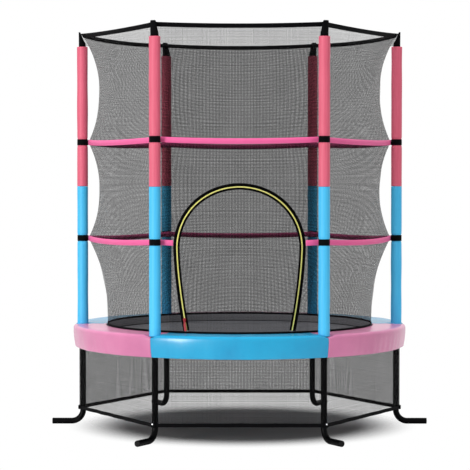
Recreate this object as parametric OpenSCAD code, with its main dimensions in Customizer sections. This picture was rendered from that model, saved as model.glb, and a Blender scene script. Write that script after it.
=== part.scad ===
// Six-pole trampoline with a safety net, for small children.
// Millimetres, +Z up, origin on the floor under the middle of the mat.
// The poles stand at 0, 60, 120, ... degrees; the door is in the panel that faces -Y.

/* [Frame] */
// Radius of the circle that the legs and poles stand on
pole_circle_r = 662; // [640:1:680]
// Outside diameter of the frame, leg and pole tube
tube_d = 25; // [22:0.5:26]
// Wall of that tube
tube_wall = 1.2; // [1:0.1:2]
// Height of the ring tube's centre, which is also the height of the mat
ring_h = 395; // [380:1:400]
// Bend radius of a leg, at the tube's centre
leg_bend_r = 48; // [42:1:54]
// Straight length of the tube that lies on the floor
foot_len = 78; // [60:1:110]
// Length of the plastic plug that shows past the end of a foot
foot_plug_len = 4; // [2:0.5:8]
// Wall of the corner fitting
tee_wall = 2; // [1.5:0.1:3]
// Clearance between a tube and the socket that it slides into, on the radius
socket_gap = 0.25; // [0.15:0.05:0.4]
// How far the corner fitting reaches below the ring's centre
tee_drop = 40; // [36:1:44]
// How far the corner fitting reaches above the ring's centre
tee_rise = 9; // [7:0.5:10]
// Arc that a rail's end covers inside the corner fitting, in degrees
tee_arm_a = 4.4; // [4:0.1:4.6]
// Diameter of the screws that lock the rails
screw_d = 5; // [4:0.1:6]

/* [Poles] */
// Height of the joint between the lower and the upper pole
pole_joint_h = 1005; // [900:1:1100]
// Height of the top of the upper pole
pole_top_h = 1600; // [1597:1:1604]
// Length of the narrow end that plugs the lower pole into the upper one
spigot_len = 55; // [30:1:80]
// Outside diameter of the foam sleeves
sleeve_d = 45; // [40:0.5:47]
// How far the foam sleeves end below the poles' tops
sleeve_drop = 5; // [4:1:10]
// How far a band squeezes the foam, on the radius
band_squeeze = 2.8; // [1:0.1:4]
// Height of the band round a pole
band_h = 25; // [18:1:32]
// Thickness of the band
band_t = 1.4; // [1:0.1:2]

/* [Net] */
// Height of the net's top edge above the poles' tops
net_rise = 45.5; // [40:0.5:50]
// Height of the upper strap
upper_tie_h = 1190; // [1150:1:1230]
// Height of the lower strap
lower_tie_h = 787; // [775:1:800]
// Height where the net starts above the mat
net_foot_h = 397.3; // [397.3:0.1:400]
// Width of the tape round the net below the door's bottom edge
net_tape_w = 6; // [4:0.5:12]
// Radius of the net's foot, at the mat's edge
net_foot_r = 556; // [550:0.5:558]
// Radius of the net in the middle of a panel
net_mid_r = 595; // [585:1:602]
// Radius of the net's corners halfway between two straps
net_waist_r = 591; // [585:1:600]
// Thickness of the netting
net_t = 1.6; // [1.2:0.1:3]
// How far the net's top edge and straps sag between two poles
net_sag = 8; // [0:1:14]
// Width of the straps
strap_w = 22; // [16:1:28]
// Thickness of the straps
strap_t = 1.4; // [1:0.1:2]
// Width of the tape that binds the net's top edge
hem_w = 16; // [10:1:18]

/* [Door] */
// Radius of the zip's arch
door_r = 244.5; // [235:0.5:255]
// Height of the middle of the zip's arch
door_mid_h = 767.5; // [755:0.5:775]
// Half the width between the two feet of the zip
door_foot_w = 206.5; // [190:0.5:215]
// Height of the door's bottom edge
door_sill_h = 434; // [432:1:440]
// Width of the zip's teeth
teeth_w = 6.8; // [6:0.1:10]
// Width of the zip's tape on the net
tape_w = 11; // [7:0.5:14]
// Width of the zip's tape on the door
door_tape_w = 7.5; // [4:0.5:8]
// Height of the slider's middle with the door shut
slider_h = 478; // [474:1:486]
// Length of the pull
pull_len = 43; // [34:1:45]

/* [Mat and springs] */
// Radius of the mat that gives
mat_r = 540; // [530:1:544]
// Width of the border that the springs pull on
mat_border_w = 14; // [10:1:14]
// Thickness of the mat
mat_t = 2; // [1.5:0.1:3]
// Number of springs
spring_count = 36; // [24:6:42]
// Outside diameter of a spring
spring_d = 17; // [14:0.5:20]
// Length of a spring's coils
spring_coil_len = 52; // [40:1:58]
// Wire of a spring and of the rings in the mat
wire_d = 2.6; // [2:0.1:3.2]

/* [Pad and skirt] */
// Inner radius of the pad
pad_inner_r = 560; // [559:0.5:566]
// Outer radius of the pad
pad_outer_r = 698.5; // [692:0.5:704]
// Height of the pad's top
pad_top_h = 428; // [426:0.5:431]
// Thickness of the pad's foam
pad_t = 18; // [14:0.5:20]
// Height of the bottom of the pad's side flap
pad_flap_h = 338; // [326:1:342]
// Thickness of the side flap
pad_flap_t = 4; // [3:0.5:6]
// How far the side flap's bottom edge leans in
pad_lean = 9.5; // [4:0.5:12]
// Height of the bottom edge of the skirt
skirt_foot_h = 63; // [50:1:75]
// Thickness of the skirt's netting
skirt_t = 1.6; // [1.2:0.1:3]
// Width of the skirt's hem
skirt_hem_w = 12.5; // [8:0.5:18]
// Height of the gathered tie at each corner of the skirt
skirt_tie_h = 26; // [20:0.5:32]
// Radius of that tie
skirt_tie_r = 7; // [5:0.5:9]

/* [Hidden] */

$fn = 48;
gap = 0.3;              // running and seating clearance between neighbours
sides = 6;              // poles, rails, panels and pad sections
sector = 360 / sides;
tube_r = tube_d / 2;
bore_r = tube_r - tube_wall;
socket_r = tube_r + socket_gap;
tee_r = socket_r + tee_wall;
screw_r = screw_d / 2;
sleeve_r = sleeve_d / 2;
neck_r = sleeve_r - band_squeeze;
band_r = neck_r + gap + band_t;
pink = [0.95, 0.52, 0.62];
blue = [0.36, 0.78, 0.96];
strap_pink = [0.98, 0.45, 0.68];
pad_pink = [0.88, 0.55, 0.72];
pad_blue = [0.20, 0.72, 0.88];
black = [0.08, 0.08, 0.09];
steel = [0.72, 0.73, 0.75];
pull_red = [0.75, 0.24, 0.30];
teeth_yellow = [0.85, 0.85, 0.35];
mesh_grey = [0.45, 0.45, 0.46, 0.6];

// ---------------------------------------------------------------- the net's surface
// Each panel is worked out in its own frame: x along the chord between its two poles, y outwards.

// Radius of the net's corner where a band ties it to a pole
tie_r = pole_circle_r - (band_r + strap_t + 3 * gap) / cos(sector / 4);
net_top_h = pole_top_h + net_rise;
sleeve_top_h = pole_top_h - sleeve_drop;
hem_t = 1.2;
hem_gap = 0.7;          // the netting's play inside the hem, on each side
foot_tape_t = 1.2;
pocket_foot_r = 14.6;   // radius of a corner pocket where it meets the sleeve
pocket_out = 0.9;       // how far the pocket stands outside the pole there
pocket_room = 6;        // space in it above the pole's end
pocket_fold = 27.5;      // distance below the hem where it starts to narrow
pocket_rise = 7.5;      // how far it stands above the hem
pocket_end = 4;         // height of its rounded top
pocket_top_h = net_top_h + pocket_rise;
pocket_flat = 0.33;     // depth of the pocket at the hem, as a share of its depth at the sleeve
// Radius of the net's corner under the hem
top_r = pole_circle_r + pocket_foot_r + pocket_out - 2 * pocket_foot_r * pocket_flat - hem_t - hem_gap - gap;
upper_waist_h = upper_tie_h + 0.467 * (net_top_h - upper_tie_h);
middle_waist_h = (upper_tie_h + lower_tie_h) / 2;
lower_waist_h = door_sill_h + 16;

function pulled(waist, tied, share) = waist + (tied - waist) * pow(abs(share), 2.2);

// Radius of the corner between two panels at height z
function corner_r(z) =
  z > upper_waist_h ? pulled(net_waist_r, top_r, (z - upper_waist_h) / (net_top_h - upper_waist_h))
  : z > upper_tie_h ? pulled(net_waist_r, tie_r, (upper_waist_h - z) / (upper_waist_h - upper_tie_h))
  : z > middle_waist_h ? pulled(net_waist_r, tie_r, (z - middle_waist_h) / (upper_tie_h - middle_waist_h))
  : z > lower_tie_h ? pulled(net_waist_r, tie_r, (middle_waist_h - z) / (middle_waist_h - lower_tie_h))
  : z > lower_waist_h ? pulled(net_foot_r, tie_r, (z - lower_waist_h) / (lower_tie_h - lower_waist_h))
  : net_foot_r;

// Radius in the middle of a panel at height z
function mid_r(z) =
  z > lower_tie_h ? net_mid_r
  : z > door_sill_h ? net_foot_r + (net_mid_r - net_foot_r) * (z - door_sill_h) / (lower_tie_h - door_sill_h)
  : net_foot_r;

function sag(z) =
  z > lower_tie_h ? net_sag
  : z > door_sill_h ? net_sag * (z - door_sill_h) / (lower_tie_h - door_sill_h)
  : 0;

// Half the chord of a panel at height z
function half_chord(z) = corner_r(z) * sin(sector / 2);

// A point of a panel: share -1 to 1 from pole to pole, height z, and its distance out of the net
function skin(share, z, out = 0) =
  let (
    c = corner_r(z),
    x = share * half_chord(z),
    y = c * cos(sector / 2) + (mid_r(z) - c * cos(sector / 2)) * (1 - share * share),
    k = 1 + out / norm([x, y])
  )
  [x * k, y * k, z - sag(z) * (1 - share * share)];

// The same point from its distance x along the chord
function skin_at(x, z, out = 0) = skin(x / half_chord(z), z, out);

// ---------------------------------------------------------------- meshes

// A closed sheet between two grids of points; the cells in both open_rows and open_cols are missing
module sheet(front, back, rows, cols, open_rows = [0, 0], open_cols = [0, 0]) {
  w = cols + 1;
  n = (rows + 1) * w;
  function here(i, j) = i >= 0 && i < rows && j >= 0 && j < cols
    && !(j >= open_cols[0] && j < open_cols[1] && i >= open_rows[0] && i < open_rows[1]);
  function at(i, j) = i * w + j;
  faces = [
    for (i = [0 : rows - 1], j = [0 : cols - 1]) if (here(i, j))
      each concat(
        cell(front, at(i, j), at(i + 1, j), at(i + 1, j + 1), at(i, j + 1)),
        cell(concat(front, back), n + at(i, j), n + at(i, j + 1), n + at(i + 1, j + 1), n + at(i + 1, j)),
        here(i - 1, j) ? [] : wall(at(i, j), at(i, j + 1), n),
        here(i + 1, j) ? [] : wall(at(i + 1, j + 1), at(i + 1, j), n),
        here(i, j - 1) ? [] : wall(at(i + 1, j), at(i, j), n),
        here(i, j + 1) ? [] : wall(at(i, j + 1), at(i + 1, j + 1), n)
      )
  ];
  polyhedron(points = concat(front, back), faces = faces, convexity = 6);
}
// Two triangles over four corners of the points p, cut along the shorter diagonal
function cell(p, a, b, c, d) =
  norm(p[a] - p[c]) < norm(p[b] - p[d]) ? [[a, b, c], [a, c, d]] : [[a, b, d], [b, c, d]];
// Two triangles that close a sheet's edge from point a to point b
function wall(a, b, n) = [[a, b, n + b], [a, n + b, n + a]];

// A bar carried through rings of points; each ring goes out along one side of the section and back
module bar(rings) {
  m = len(rings[0]);
  e = (len(rings) - 1) * m;
  points = [for (r = rings) each r];
  polyhedron(
    points = points,
    faces = concat(
      [for (j = [0 : m / 2 - 2]) each [[j, m - 2 - j, j + 1], [j, m - 1 - j, m - 2 - j]]],
      [for (i = [0 : len(rings) - 2], j = [0 : m - 1]) let (a = i * m + j, b = i * m + (j + 1) % m) each
        cell(points, a, b, m + b, m + a)],
      [for (j = [0 : m / 2 - 2]) each
        [[e + j, e + j + 1, e + m - 2 - j], [e + j, e + m - 2 - j, e + m - 1 - j]]]
    ),
    convexity = 6
  );
}

// Puts a panel, made in its own frame, between pole i and pole i + 1
module panel_place(i) { rotate([0, 0, (i + 0.5) * sector - 90]) children(); }
module at_pole(i) { rotate([0, 0, i * sector]) translate([pole_circle_r, 0, 0]) children(); }
module all_poles() { for (i = [0 : sides - 1]) at_pole(i) children(); }

function steps(a, b, n) = [for (i = [0 : n]) a + (b - a) * i / n];
function tail(v) = [for (i = [1 : len(v) - 1]) v[i]];

// ---------------------------------------------------------------- the door's arch

// Half the width of the zip's line at height z, moved out by d
function arch_w(z, d = 0) =
  z > door_mid_h ? sqrt(max(0, pow(door_r + d, 2) - pow(z - door_mid_h, 2)))
  : door_r + d - (door_r - door_foot_w) * pow((door_mid_h - z) / (door_mid_h - door_sill_h), leg_curve);

leg_curve = 1.7;        // how late the arch's legs draw in
top_a = 87.4;           // the arch's last row, as an angle from its middle
low_rows = 12;          // rows of the net from the door's bottom edge to the lower strap
arc_rows = 11;          // rows from there to the arch's top

// Rows of the grid for a panel whose opening, if any, lies d outside the zip's line
function rows_for(d) = concat(
  [net_foot_h],
  steps(door_sill_h, lower_tie_h, low_rows),
  tail([for (a = steps(asin((lower_tie_h - door_mid_h) / (door_r + d)), top_a, arc_rows))
    door_mid_h + (door_r + d) * sin(a)]),
  tail(steps(door_mid_h + (door_r + d) * sin(top_a), upper_tie_h, 4)),
  tail(steps(upper_tie_h, net_top_h - hem_w, 7)),
  [net_top_h]
);
sill_row = 1;
arch_row = sill_row + low_rows + arc_rows;    // number of the row at the arch's top
side_cols = 5;          // columns on each side of the opening
door_cols = 6;          // columns over and under the opening
net_cut = teeth_w / 2 + 1;    // the netting ends this far from the zip's line
plain_cols = 8;         // columns of a panel without an opening
door_panel_i = 4;

// A plain panel
module plain_panel() {
  zs = rows_for(net_cut);
  cs = steps(1, -1, plain_cols);
  sheet(
    [for (z = zs) for (s = cs) skin(s, z)],
    [for (z = zs) for (s = cs) skin(s, z, -net_t)],
    len(zs) - 1, plain_cols
  );
}

// The shares across the front panel at height z: from a pole to the opening, over it, and to the other
function door_shares(z) =
  let (
    top = door_mid_h + (door_r + net_cut) * sin(top_a),
    e = arch_w(min(max(z, door_sill_h), top), net_cut) / half_chord(z)
  )
  concat(steps(1, e, side_cols), tail(steps(e, -e, door_cols)), tail(steps(-e, -1, side_cols)));

// The shares of the columns of panel i at height z
function panel_shares(i, z) = i == door_panel_i ? door_shares(z) : steps(1, -1, plain_cols);

module door_frame_panel() {
  zs = rows_for(net_cut);
  sheet(
    [for (z = zs) for (s = door_shares(z)) skin(s, z)],
    [for (z = zs) for (s = door_shares(z)) skin(s, z, -net_t)],
    len(zs) - 1, 2 * side_cols + door_cols, [sill_row, arch_row], [side_cols, side_cols + door_cols]
  );
}

// Points of the zip's line, as [x, z]: up one side, over the top and down the other
leg_n = 9;
arc_n = 26;
zip_foot_h = door_sill_h + 3;
tie_a = asin((lower_tie_h - door_mid_h) / door_r);    // where it passes the lower strap
arch = concat(
  [for (z = steps(zip_foot_h, door_mid_h, leg_n)) [arch_w(z), z]],
  [for (a = steps(tie_a, 180 - tie_a, arc_n)) [door_r * cos(a), door_mid_h + door_r * sin(a)]],
  [for (z = steps(door_mid_h, zip_foot_h, leg_n)) [-arch_w(z), z]]
);
function arch_n(i) =
  let (
    a = arch[max(0, i - 1)],
    b = arch[min(len(arch) - 1, i + 1)],
    t = (b - a) / norm(b - a)
  )
  [t[1], -t[0]];

// A strip along the zip's line, from d0 to d1 across it and from o0 to o1 out of the net
module zip_strip(d0, d1, o0, o1) {
  bar([for (i = [0 : len(arch) - 1])
    let (p = arch[i] + arch_n(i) * d0, q = arch[i] + arch_n(i) * d1)
    [skin_at(p[0], p[1], o0), skin_at(p[0], p[1], o1), skin_at(q[0], q[1], o1), skin_at(q[0], q[1], o0)]]);
}

// ---------------------------------------------------------------- frame

module tube(r, wall, h) {
  difference() {
    cylinder(r = r, h = h);
    translate([0, 0, -1]) cylinder(r = r - wall, h = h + 2);
  }
}

// A piece of the ring tube, from angle a0 to a1
module ring_tube(outer, inner, a0, a1) {
  translate([0, 0, ring_h]) rotate([0, 0, a0])
    rotate_extrude(angle = a1 - a0, $fn = 120) translate([pole_circle_r, 0])
      difference() {
        circle(r = outer);
        if (inner > 0) circle(r = inner);
      }
}

post_r = tee_r + 1.2;                             // outside of a fitting's post
post_a = asin((post_r + 0.5) / pole_circle_r);    // half the arc that the post takes
screw_a = (post_a + tee_arm_a) / 2 + 0.6;         // where a rail's screw sits

module screw_holes(i, r) {
  for (s = [-1, 1]) rotate([0, 0, i * sector + s * screw_a])
    translate([pole_circle_r, 0, ring_h - tee_r - 2]) cylinder(r = r, h = tee_r + 2, $fn = 24);
}

module rail(i) {
  color(black) difference() {
    ring_tube(tube_r, bore_r, i * sector + post_a + 0.1, (i + 1) * sector - post_a - 0.1);
    screw_holes(i, screw_r + socket_gap);
    screw_holes(i + 1, screw_r + socket_gap);
  }
}

// Corner fitting: a post with sockets for the leg and the pole, crossed by one for the rails
module corner_tees() {
  post_h = tee_drop + tee_r + tee_rise;
  color(black) for (i = [0 : sides - 1]) difference() {
    union() {
      at_pole(i) translate([0, 0, ring_h - tee_drop]) cylinder(r = post_r, h = post_h);
      ring_tube(tee_r, 0, i * sector - tee_arm_a, i * sector + tee_arm_a);
    }
    for (s = [-1, 1]) ring_tube(socket_r, 0, i * sector + (s < 0 ? -tee_arm_a - 1 : post_a),
      i * sector + (s < 0 ? -post_a : tee_arm_a + 1));
    at_pole(i) translate([0, 0, ring_h - tee_drop - 1]) cylinder(r = socket_r, h = post_h + 2);
    screw_holes(i, screw_r + socket_gap);
  }
}

screw_head_t = 2.2;
module rail_screws() {
  color(steel) for (i = [0 : sides - 1], s = [-1, 1])
    rotate([0, 0, i * sector + s * screw_a]) translate([pole_circle_r, 0, 0]) {
      translate([0, 0, ring_h - tee_r - screw_head_t - gap])
        cylinder(r1 = screw_r * 1.3, r2 = screw_r * 1.9, h = screw_head_t);
      translate([0, 0, ring_h - tee_r - gap]) cylinder(r = screw_r, h = tee_wall + tube_wall + 3, $fn = 24);
    }
}

leg_top_h = ring_h - tube_r - 1;
foot_x = leg_bend_r;

module leg(i) {
  color(black) at_pole(i) {
    translate([0, 0, tube_r + leg_bend_r]) tube(tube_r, tube_wall, leg_top_h - tube_r - leg_bend_r);
    translate([leg_bend_r, 0, tube_r + leg_bend_r]) rotate([90, 0, 0]) rotate([0, 0, 180])
      rotate_extrude(angle = 90, $fn = 96) translate([leg_bend_r, 0]) difference() {
        circle(r = tube_r);
        circle(r = bore_r);
      }
    translate([foot_x, 0, tube_r]) rotate([0, 90, 0]) tube(tube_r, tube_wall, foot_len);
  }
}

plug_stem_len = 16;
module foot_plugs() {
  color(black) all_poles() translate([foot_x + foot_len, 0, tube_r]) rotate([0, 90, 0])
    rotate_extrude() polygon(concat(
      [[0, -plug_stem_len], [bore_r - socket_gap, -plug_stem_len], [bore_r - socket_gap, 0], [tube_r, 0]],
      [for (a = [0 : 15 : 90]) [tube_r - foot_plug_len / 2 + foot_plug_len / 2 * cos(a),
        foot_plug_len / 2 + foot_plug_len / 2 * sin(a)]],
      [[0, foot_plug_len]]
    ));
}

// ---------------------------------------------------------------- poles

pole_foot_h = ring_h + tube_r + 1 - tee_rise - 3;
spigot_r = bore_r - socket_gap;
swage = 6;              // height of the cone between the pole and its narrow end

module lower_poles() {
  color(black) all_poles() rotate_extrude() polygon([
    [bore_r, pole_foot_h], [tube_r, pole_foot_h], [tube_r, pole_joint_h - gap],
    [spigot_r, pole_joint_h - gap], [spigot_r, pole_joint_h + spigot_len],
    [spigot_r - tube_wall, pole_joint_h + spigot_len], [spigot_r - tube_wall, pole_joint_h - gap - tube_wall],
    [bore_r, pole_joint_h - gap - tube_wall - swage]
  ]);
}
module upper_poles() {
  color(black) all_poles() translate([0, 0, pole_joint_h]) tube(tube_r, tube_wall, pole_top_h - pole_joint_h);
}
module pole_caps() {
  color(black) all_poles() translate([0, 0, pole_top_h]) rotate_extrude() polygon(concat(
    [[0, -14], [bore_r - socket_gap, -14], [bore_r - socket_gap, 0], [tube_r - 0.5, 0]],
    [for (a = [0 : 15 : 75]) [(tube_r - 0.5) * cos(a), 1 + 3 * sin(a)]],
    [[0, 4]]
  ));
}

// Foam sleeve from z0 to z1, squeezed by a band at height tie
module sleeve(z0, z1, tie) {
  e = 1.5;              // rounding of the ends
  rotate_extrude() polygon(concat(
    [[tube_r + gap, z0], [sleeve_r - e, z0]],
    [for (a = [-60, -30, 0]) [sleeve_r - e + e * cos(a), z0 + e + e * sin(a)]],
    [for (t = [[1, -2.2], [0.4, -1.3], [0, -1], [0, 1], [0.4, 1.3], [1, 2.2]])
      [neck_r + band_squeeze * t[0], tie + (band_h / 2 + 0.5) * t[1]]],
    [for (a = [0, 30, 60, 90]) [sleeve_r - e + e * cos(a), z1 - e + e * sin(a)]],
    [[tube_r + gap, z1]]
  ));
}
module blue_sleeves() {
  color(blue) all_poles() sleeve(pad_top_h + gap, pole_joint_h - gap / 2, lower_tie_h);
}
module pink_sleeves() {
  color(pink) all_poles() sleeve(pole_joint_h + gap / 2, sleeve_top_h, upper_tie_h);
}

// Band round the squeezed foam, with the tab that is sewn to the strap
module bands(tie) {
  tab_r = pole_circle_r - tie_r - strap_t - 2 * gap;
  color(black) all_poles() translate([0, 0, tie - band_h / 2]) difference() {
    union() {
      cylinder(r = band_r, h = band_h);
      translate([-tab_r, -4, 1.5]) cube([tab_r - neck_r, 8, band_h - 3]);
    }
    translate([0, 0, -1]) cylinder(r = neck_r + gap, h = band_h + 2);
  }
}
module upper_bands() { bands(upper_tie_h); }
module lower_bands() { bands(lower_tie_h); }

// ---------------------------------------------------------------- net

module net_panel(i) { color(mesh_grey) panel_place(i) plain_panel(); }
module net_right_back() { net_panel(0); }
module net_back() { net_panel(1); }
module net_left_back() { net_panel(2); }
module net_left_front() { net_panel(3); }
module net_front() { color(mesh_grey) panel_place(4) door_frame_panel(); }
module net_right_front() { net_panel(5); }

seam = 0.9995;          // share at which a strap, tape or hem ends, just short of the next panel's

// A strap on the net's face at height z, from share s0 to s1, w high and t thick
module strap_run(z, s0, s1, w, t, n = 20) {
  bar([for (s = steps(s0, s1, n))
    [skin(s, z, gap) + [0, 0, -w / 2], skin(s, z, gap + t) + [0, 0, -w / 2],
     skin(s, z, gap + t) + [0, 0, w / 2], skin(s, z, gap) + [0, 0, w / 2]]]);
}

module upper_strap() {
  color(strap_pink) for (i = [0 : sides - 1]) panel_place(i)
    strap_run(upper_tie_h, seam, -seam, strap_w, strap_t);
}
tape_edge = teeth_w / 2 + tape_w;
module lower_strap() {
  stop = (arch_w(lower_tie_h - strap_w / 2, tape_edge) + 2 * gap) / half_chord(lower_tie_h);
  color(strap_pink) for (i = [0 : sides - 1]) panel_place(i)
    if (i == door_panel_i) {
      strap_run(lower_tie_h, seam, stop, strap_w, strap_t, 3);
      strap_run(lower_tie_h, -stop, -seam, strap_w, strap_t, 3);
    } else strap_run(lower_tie_h, seam, -seam, strap_w, strap_t);
}
// Tape round the net at the height of the pad's top edge, under the door
module net_foot_tape() {
  color(black) for (i = [0 : sides - 1]) panel_place(i)
    bar([for (s = steps(seam, -seam, i == door_panel_i ? 24 : plain_cols)) [
      skin(s, door_sill_h - gap - net_tape_w, gap), skin(s, door_sill_h - gap - net_tape_w, gap + foot_tape_t),
      skin(s, door_sill_h - gap, gap + foot_tape_t), skin(s, door_sill_h - gap, gap)
    ]]);
}

// Tape folded over the net's top edge
module net_hem() {
  z0 = net_top_h - hem_w;
  z1 = net_top_h + gap;
  inner = -net_t - hem_gap;
  color(black) for (i = [0 : sides - 1]) panel_place(i)
    bar([for (s = seam * panel_shares(i, net_top_h)) [
      skin(s, z0, hem_gap + hem_t), skin(s, z1 + hem_t, hem_gap + hem_t),
      skin(s, z1 + hem_t, inner - hem_t), skin(s, z0, inner - hem_t),
      skin(s, z0, inner), skin(s, z1, inner), skin(s, z1, hem_gap), skin(s, z0, hem_gap)
    ]]);
}

// Fabric pocket over the pole's end: round at the sleeve, drawn flat and outwards at the hem
module corner_pockets() {
  n = 24;
  heights = [sleeve_top_h + gap, pole_top_h + pocket_room, net_top_h - pocket_fold, net_top_h,
    pocket_top_h - pocket_end, pocket_top_h];
  depths = [1, 1, 0.72, pocket_flat, 0.3, 0.18];
  widths = [1.1, 1.08, 0.96, 0.8, 0.72, 0.5];
  function ring(k, a) =
    let (d = pocket_foot_r * depths[k])
    [pocket_foot_r + pocket_out - d + d * cos(a), pocket_foot_r * widths[k] * sin(a), heights[k]];
  last = len(heights) - 1;
  color(black) all_poles() difference() {
    polyhedron(
      points = [for (k = [0 : last]) for (j = [0 : n - 1]) ring(k, 360 * j / n)],
      faces = concat(
        [[for (j = [0 : n - 1]) j]],
        [for (k = [0 : last - 1], j = [0 : n - 1]) each
          [[k * n + j, (k + 1) * n + j, (k + 1) * n + (j + 1) % n],
           [k * n + j, (k + 1) * n + (j + 1) % n, k * n + (j + 1) % n]]],
        [[for (j = [n - 1 : -1 : 0]) last * n + j]]
      )
    );
    translate([0, 0, sleeve_top_h - 1])
      cylinder(r = tube_r + gap, h = pole_top_h - sleeve_top_h + pocket_room, $fn = 32);
  }
}

// ---------------------------------------------------------------- door and zip

module front_place() { panel_place(door_panel_i) children(); }
half_teeth = teeth_w / 2;
tape_lift = 1.1;        // distance from the netting to the zip's tapes, which lie on its folds
tape_t = 1.1;
tape_seam = half_teeth + 0.1;   // where a tape starts, beside its teeth
teeth_out = 2.2;        // how far the teeth stand out of the net
teeth_play = 0.5;       // half the gap between the two rows of teeth
slider_play = 1;        // gap between the teeth and the slider

module zip_tape() { color(black) front_place() zip_strip(tape_seam, tape_edge, tape_lift, tape_lift + tape_t); }
module zip_teeth() { color(teeth_yellow) front_place() zip_strip(teeth_play, half_teeth, -0.6, teeth_out); }
module door_tape() {
  color(black) front_place() zip_strip(-half_teeth - door_tape_w, -tape_seam, tape_lift, tape_lift + tape_t);
}
module door_teeth() { color(teeth_yellow) front_place() zip_strip(-half_teeth, -teeth_play, -0.6, teeth_out); }

module door_panel() {
  zs = concat(
    steps(door_sill_h + gap, lower_tie_h, low_rows),
    tail([for (a = steps(asin((lower_tie_h - door_mid_h) / (door_r - net_cut)), top_a, arc_rows))
      door_mid_h + (door_r - net_cut) * sin(a)])
  );
  function across(z) = let (e = arch_w(z, -net_cut) / half_chord(z)) steps(e, -e, 8);
  color(mesh_grey) front_place() sheet(
    [for (z = zs) for (s = across(z)) skin(s, z)],
    [for (z = zs) for (s = across(z)) skin(s, z, -net_t)],
    len(zs) - 1, 8
  );
}

// The slider runs up the zip's line from its resting place
slider_run = 130;
slider_y = teeth_out + slider_play;
slider_foot = skin_at(arch_w(slider_h), slider_h, slider_y);
slider_head = skin_at(arch_w(slider_h + slider_run), slider_h + slider_run, slider_y);
slider_dir = (slider_head - slider_foot) / norm(slider_head - slider_foot);
// Turn that faces the slider out of the net, and its direction seen in that turn
slider_turn = atan2(slider_foot[0], slider_foot[1]);
slider_x = cos(slider_turn) * slider_dir[0] - sin(slider_turn) * slider_dir[1];
slider_out = sin(slider_turn) * slider_dir[0] + cos(slider_turn) * slider_dir[1];
slider_w = 12;
slider_len = 17;
slider_t = 3.2;
post_w = 2.8;
post_t = 1.4;
eye = 6;                // length of the space under the bridge
eye_h = 2.6;            // height of that space
ring_w = 1.4;           // section of the pull's ring inside it
pull_w = 10;
pull_t = 1.4;

// Puts a child in the slider's frame: z up the zip, y out of the net
module slider_place() {
  front_place() translate(slider_foot) rotate([0, 0, -slider_turn])
    rotate([-asin(slider_out / cos(asin(slider_x))), 0, 0]) rotate([0, asin(slider_x), 0]) children();
}

module zip_slider() {
  color(pull_red) slider_place() {
    translate([0, slider_t, 0]) rotate([90, 0, 0]) linear_extrude(slider_t) polygon([
      [-slider_w / 2, slider_len / 2 - 2], [-slider_w / 2 + 2, slider_len / 2],
      [slider_w / 2 - 2, slider_len / 2], [slider_w / 2, slider_len / 2 - 2],
      [slider_w / 2 - 2.5, -slider_len / 2], [-slider_w / 2 + 2.5, -slider_len / 2]
    ]);
    // Bridge that holds the pull
    for (z = [-eye / 2 - post_t, eye / 2]) translate([-post_w / 2, slider_t - 1, z])
      cube([post_w, eye_h + post_t + 1, post_t]);
    translate([-post_w / 2, slider_t + eye_h, -eye / 2 - post_t]) cube([post_w, post_t, eye + 2 * post_t]);
  }
}

// Pull that hangs from the slider's bridge; its ring turns in the eye under the bridge
module zip_pull() {
  slot_w = post_w + 1;
  ring_x = slot_w / 2 + ring_w;
  color(pull_red) slider_place() translate([0, slider_t + eye_h / 2, 0]) rotate([slider_lean, 0, 0])
    translate([0, pull_t / 2, 0]) rotate([90, 0, 0]) linear_extrude(pull_t) difference() {
      polygon([
        [-ring_x, ring_w / 2], [ring_x, ring_w / 2], [ring_x, -9], [pull_w / 2, -16],
        [pull_w / 2, 3 - pull_len], [pull_w / 2 - 3, -pull_len], [3 - pull_w / 2, -pull_len],
        [-pull_w / 2, 3 - pull_len], [-pull_w / 2, -16], [-ring_x, -9]
      ]);
      translate([-slot_w / 2, -7.4]) square([slot_w, 7.4 - ring_w / 2]);
    }
}
slider_lean = asin(slider_out);       // the pull hangs plumb

// ---------------------------------------------------------------- mat and springs

mat_edge_r = mat_r + gap + mat_border_w;

module mat() {
  color(black) translate([0, 0, ring_h - mat_t / 2]) cylinder(r = mat_r, h = mat_t, $fn = 96);
}
// Doubled webbing round the mat, in one ring
module mat_border() {
  color(black) translate([0, 0, ring_h - mat_t / 2 - 1]) difference() {
    cylinder(r = mat_edge_r, h = mat_t + 2, $fn = 96);
    translate([0, 0, -1]) cylinder(r = mat_r + gap, h = mat_t + 4, $fn = 96);
  }
}

module at_springs() {
  for (i = [0 : spring_count - 1]) rotate([0, 0, (i + 0.5) * 360 / spring_count]) children();
}
v_depth = 13;           // how far a ring stands out of the border
v_half = 9;
v_end = v_half - wire_d / 2;
hook_in = 5.4;          // distance from a ring's point to the hook in it
// Wire triangles sewn to the border
module v_rings() {
  color(steel) at_springs() translate([mat_edge_r + gap + wire_d / 2, 0, ring_h]) {
    translate([0, v_half, 0]) rotate([90, 0, 0]) cylinder(d = wire_d, h = 2 * v_half, $fn = 16);
    for (s = [-1, 1]) translate([0, s * v_end, 0]) rotate([0, 90, -s * atan(v_end / v_depth)])
      cylinder(d = wire_d * 0.96, h = norm([v_end, v_depth]), $fn = 16);
  }
}

coil_end_r = pole_circle_r - tube_r - 6;
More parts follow.
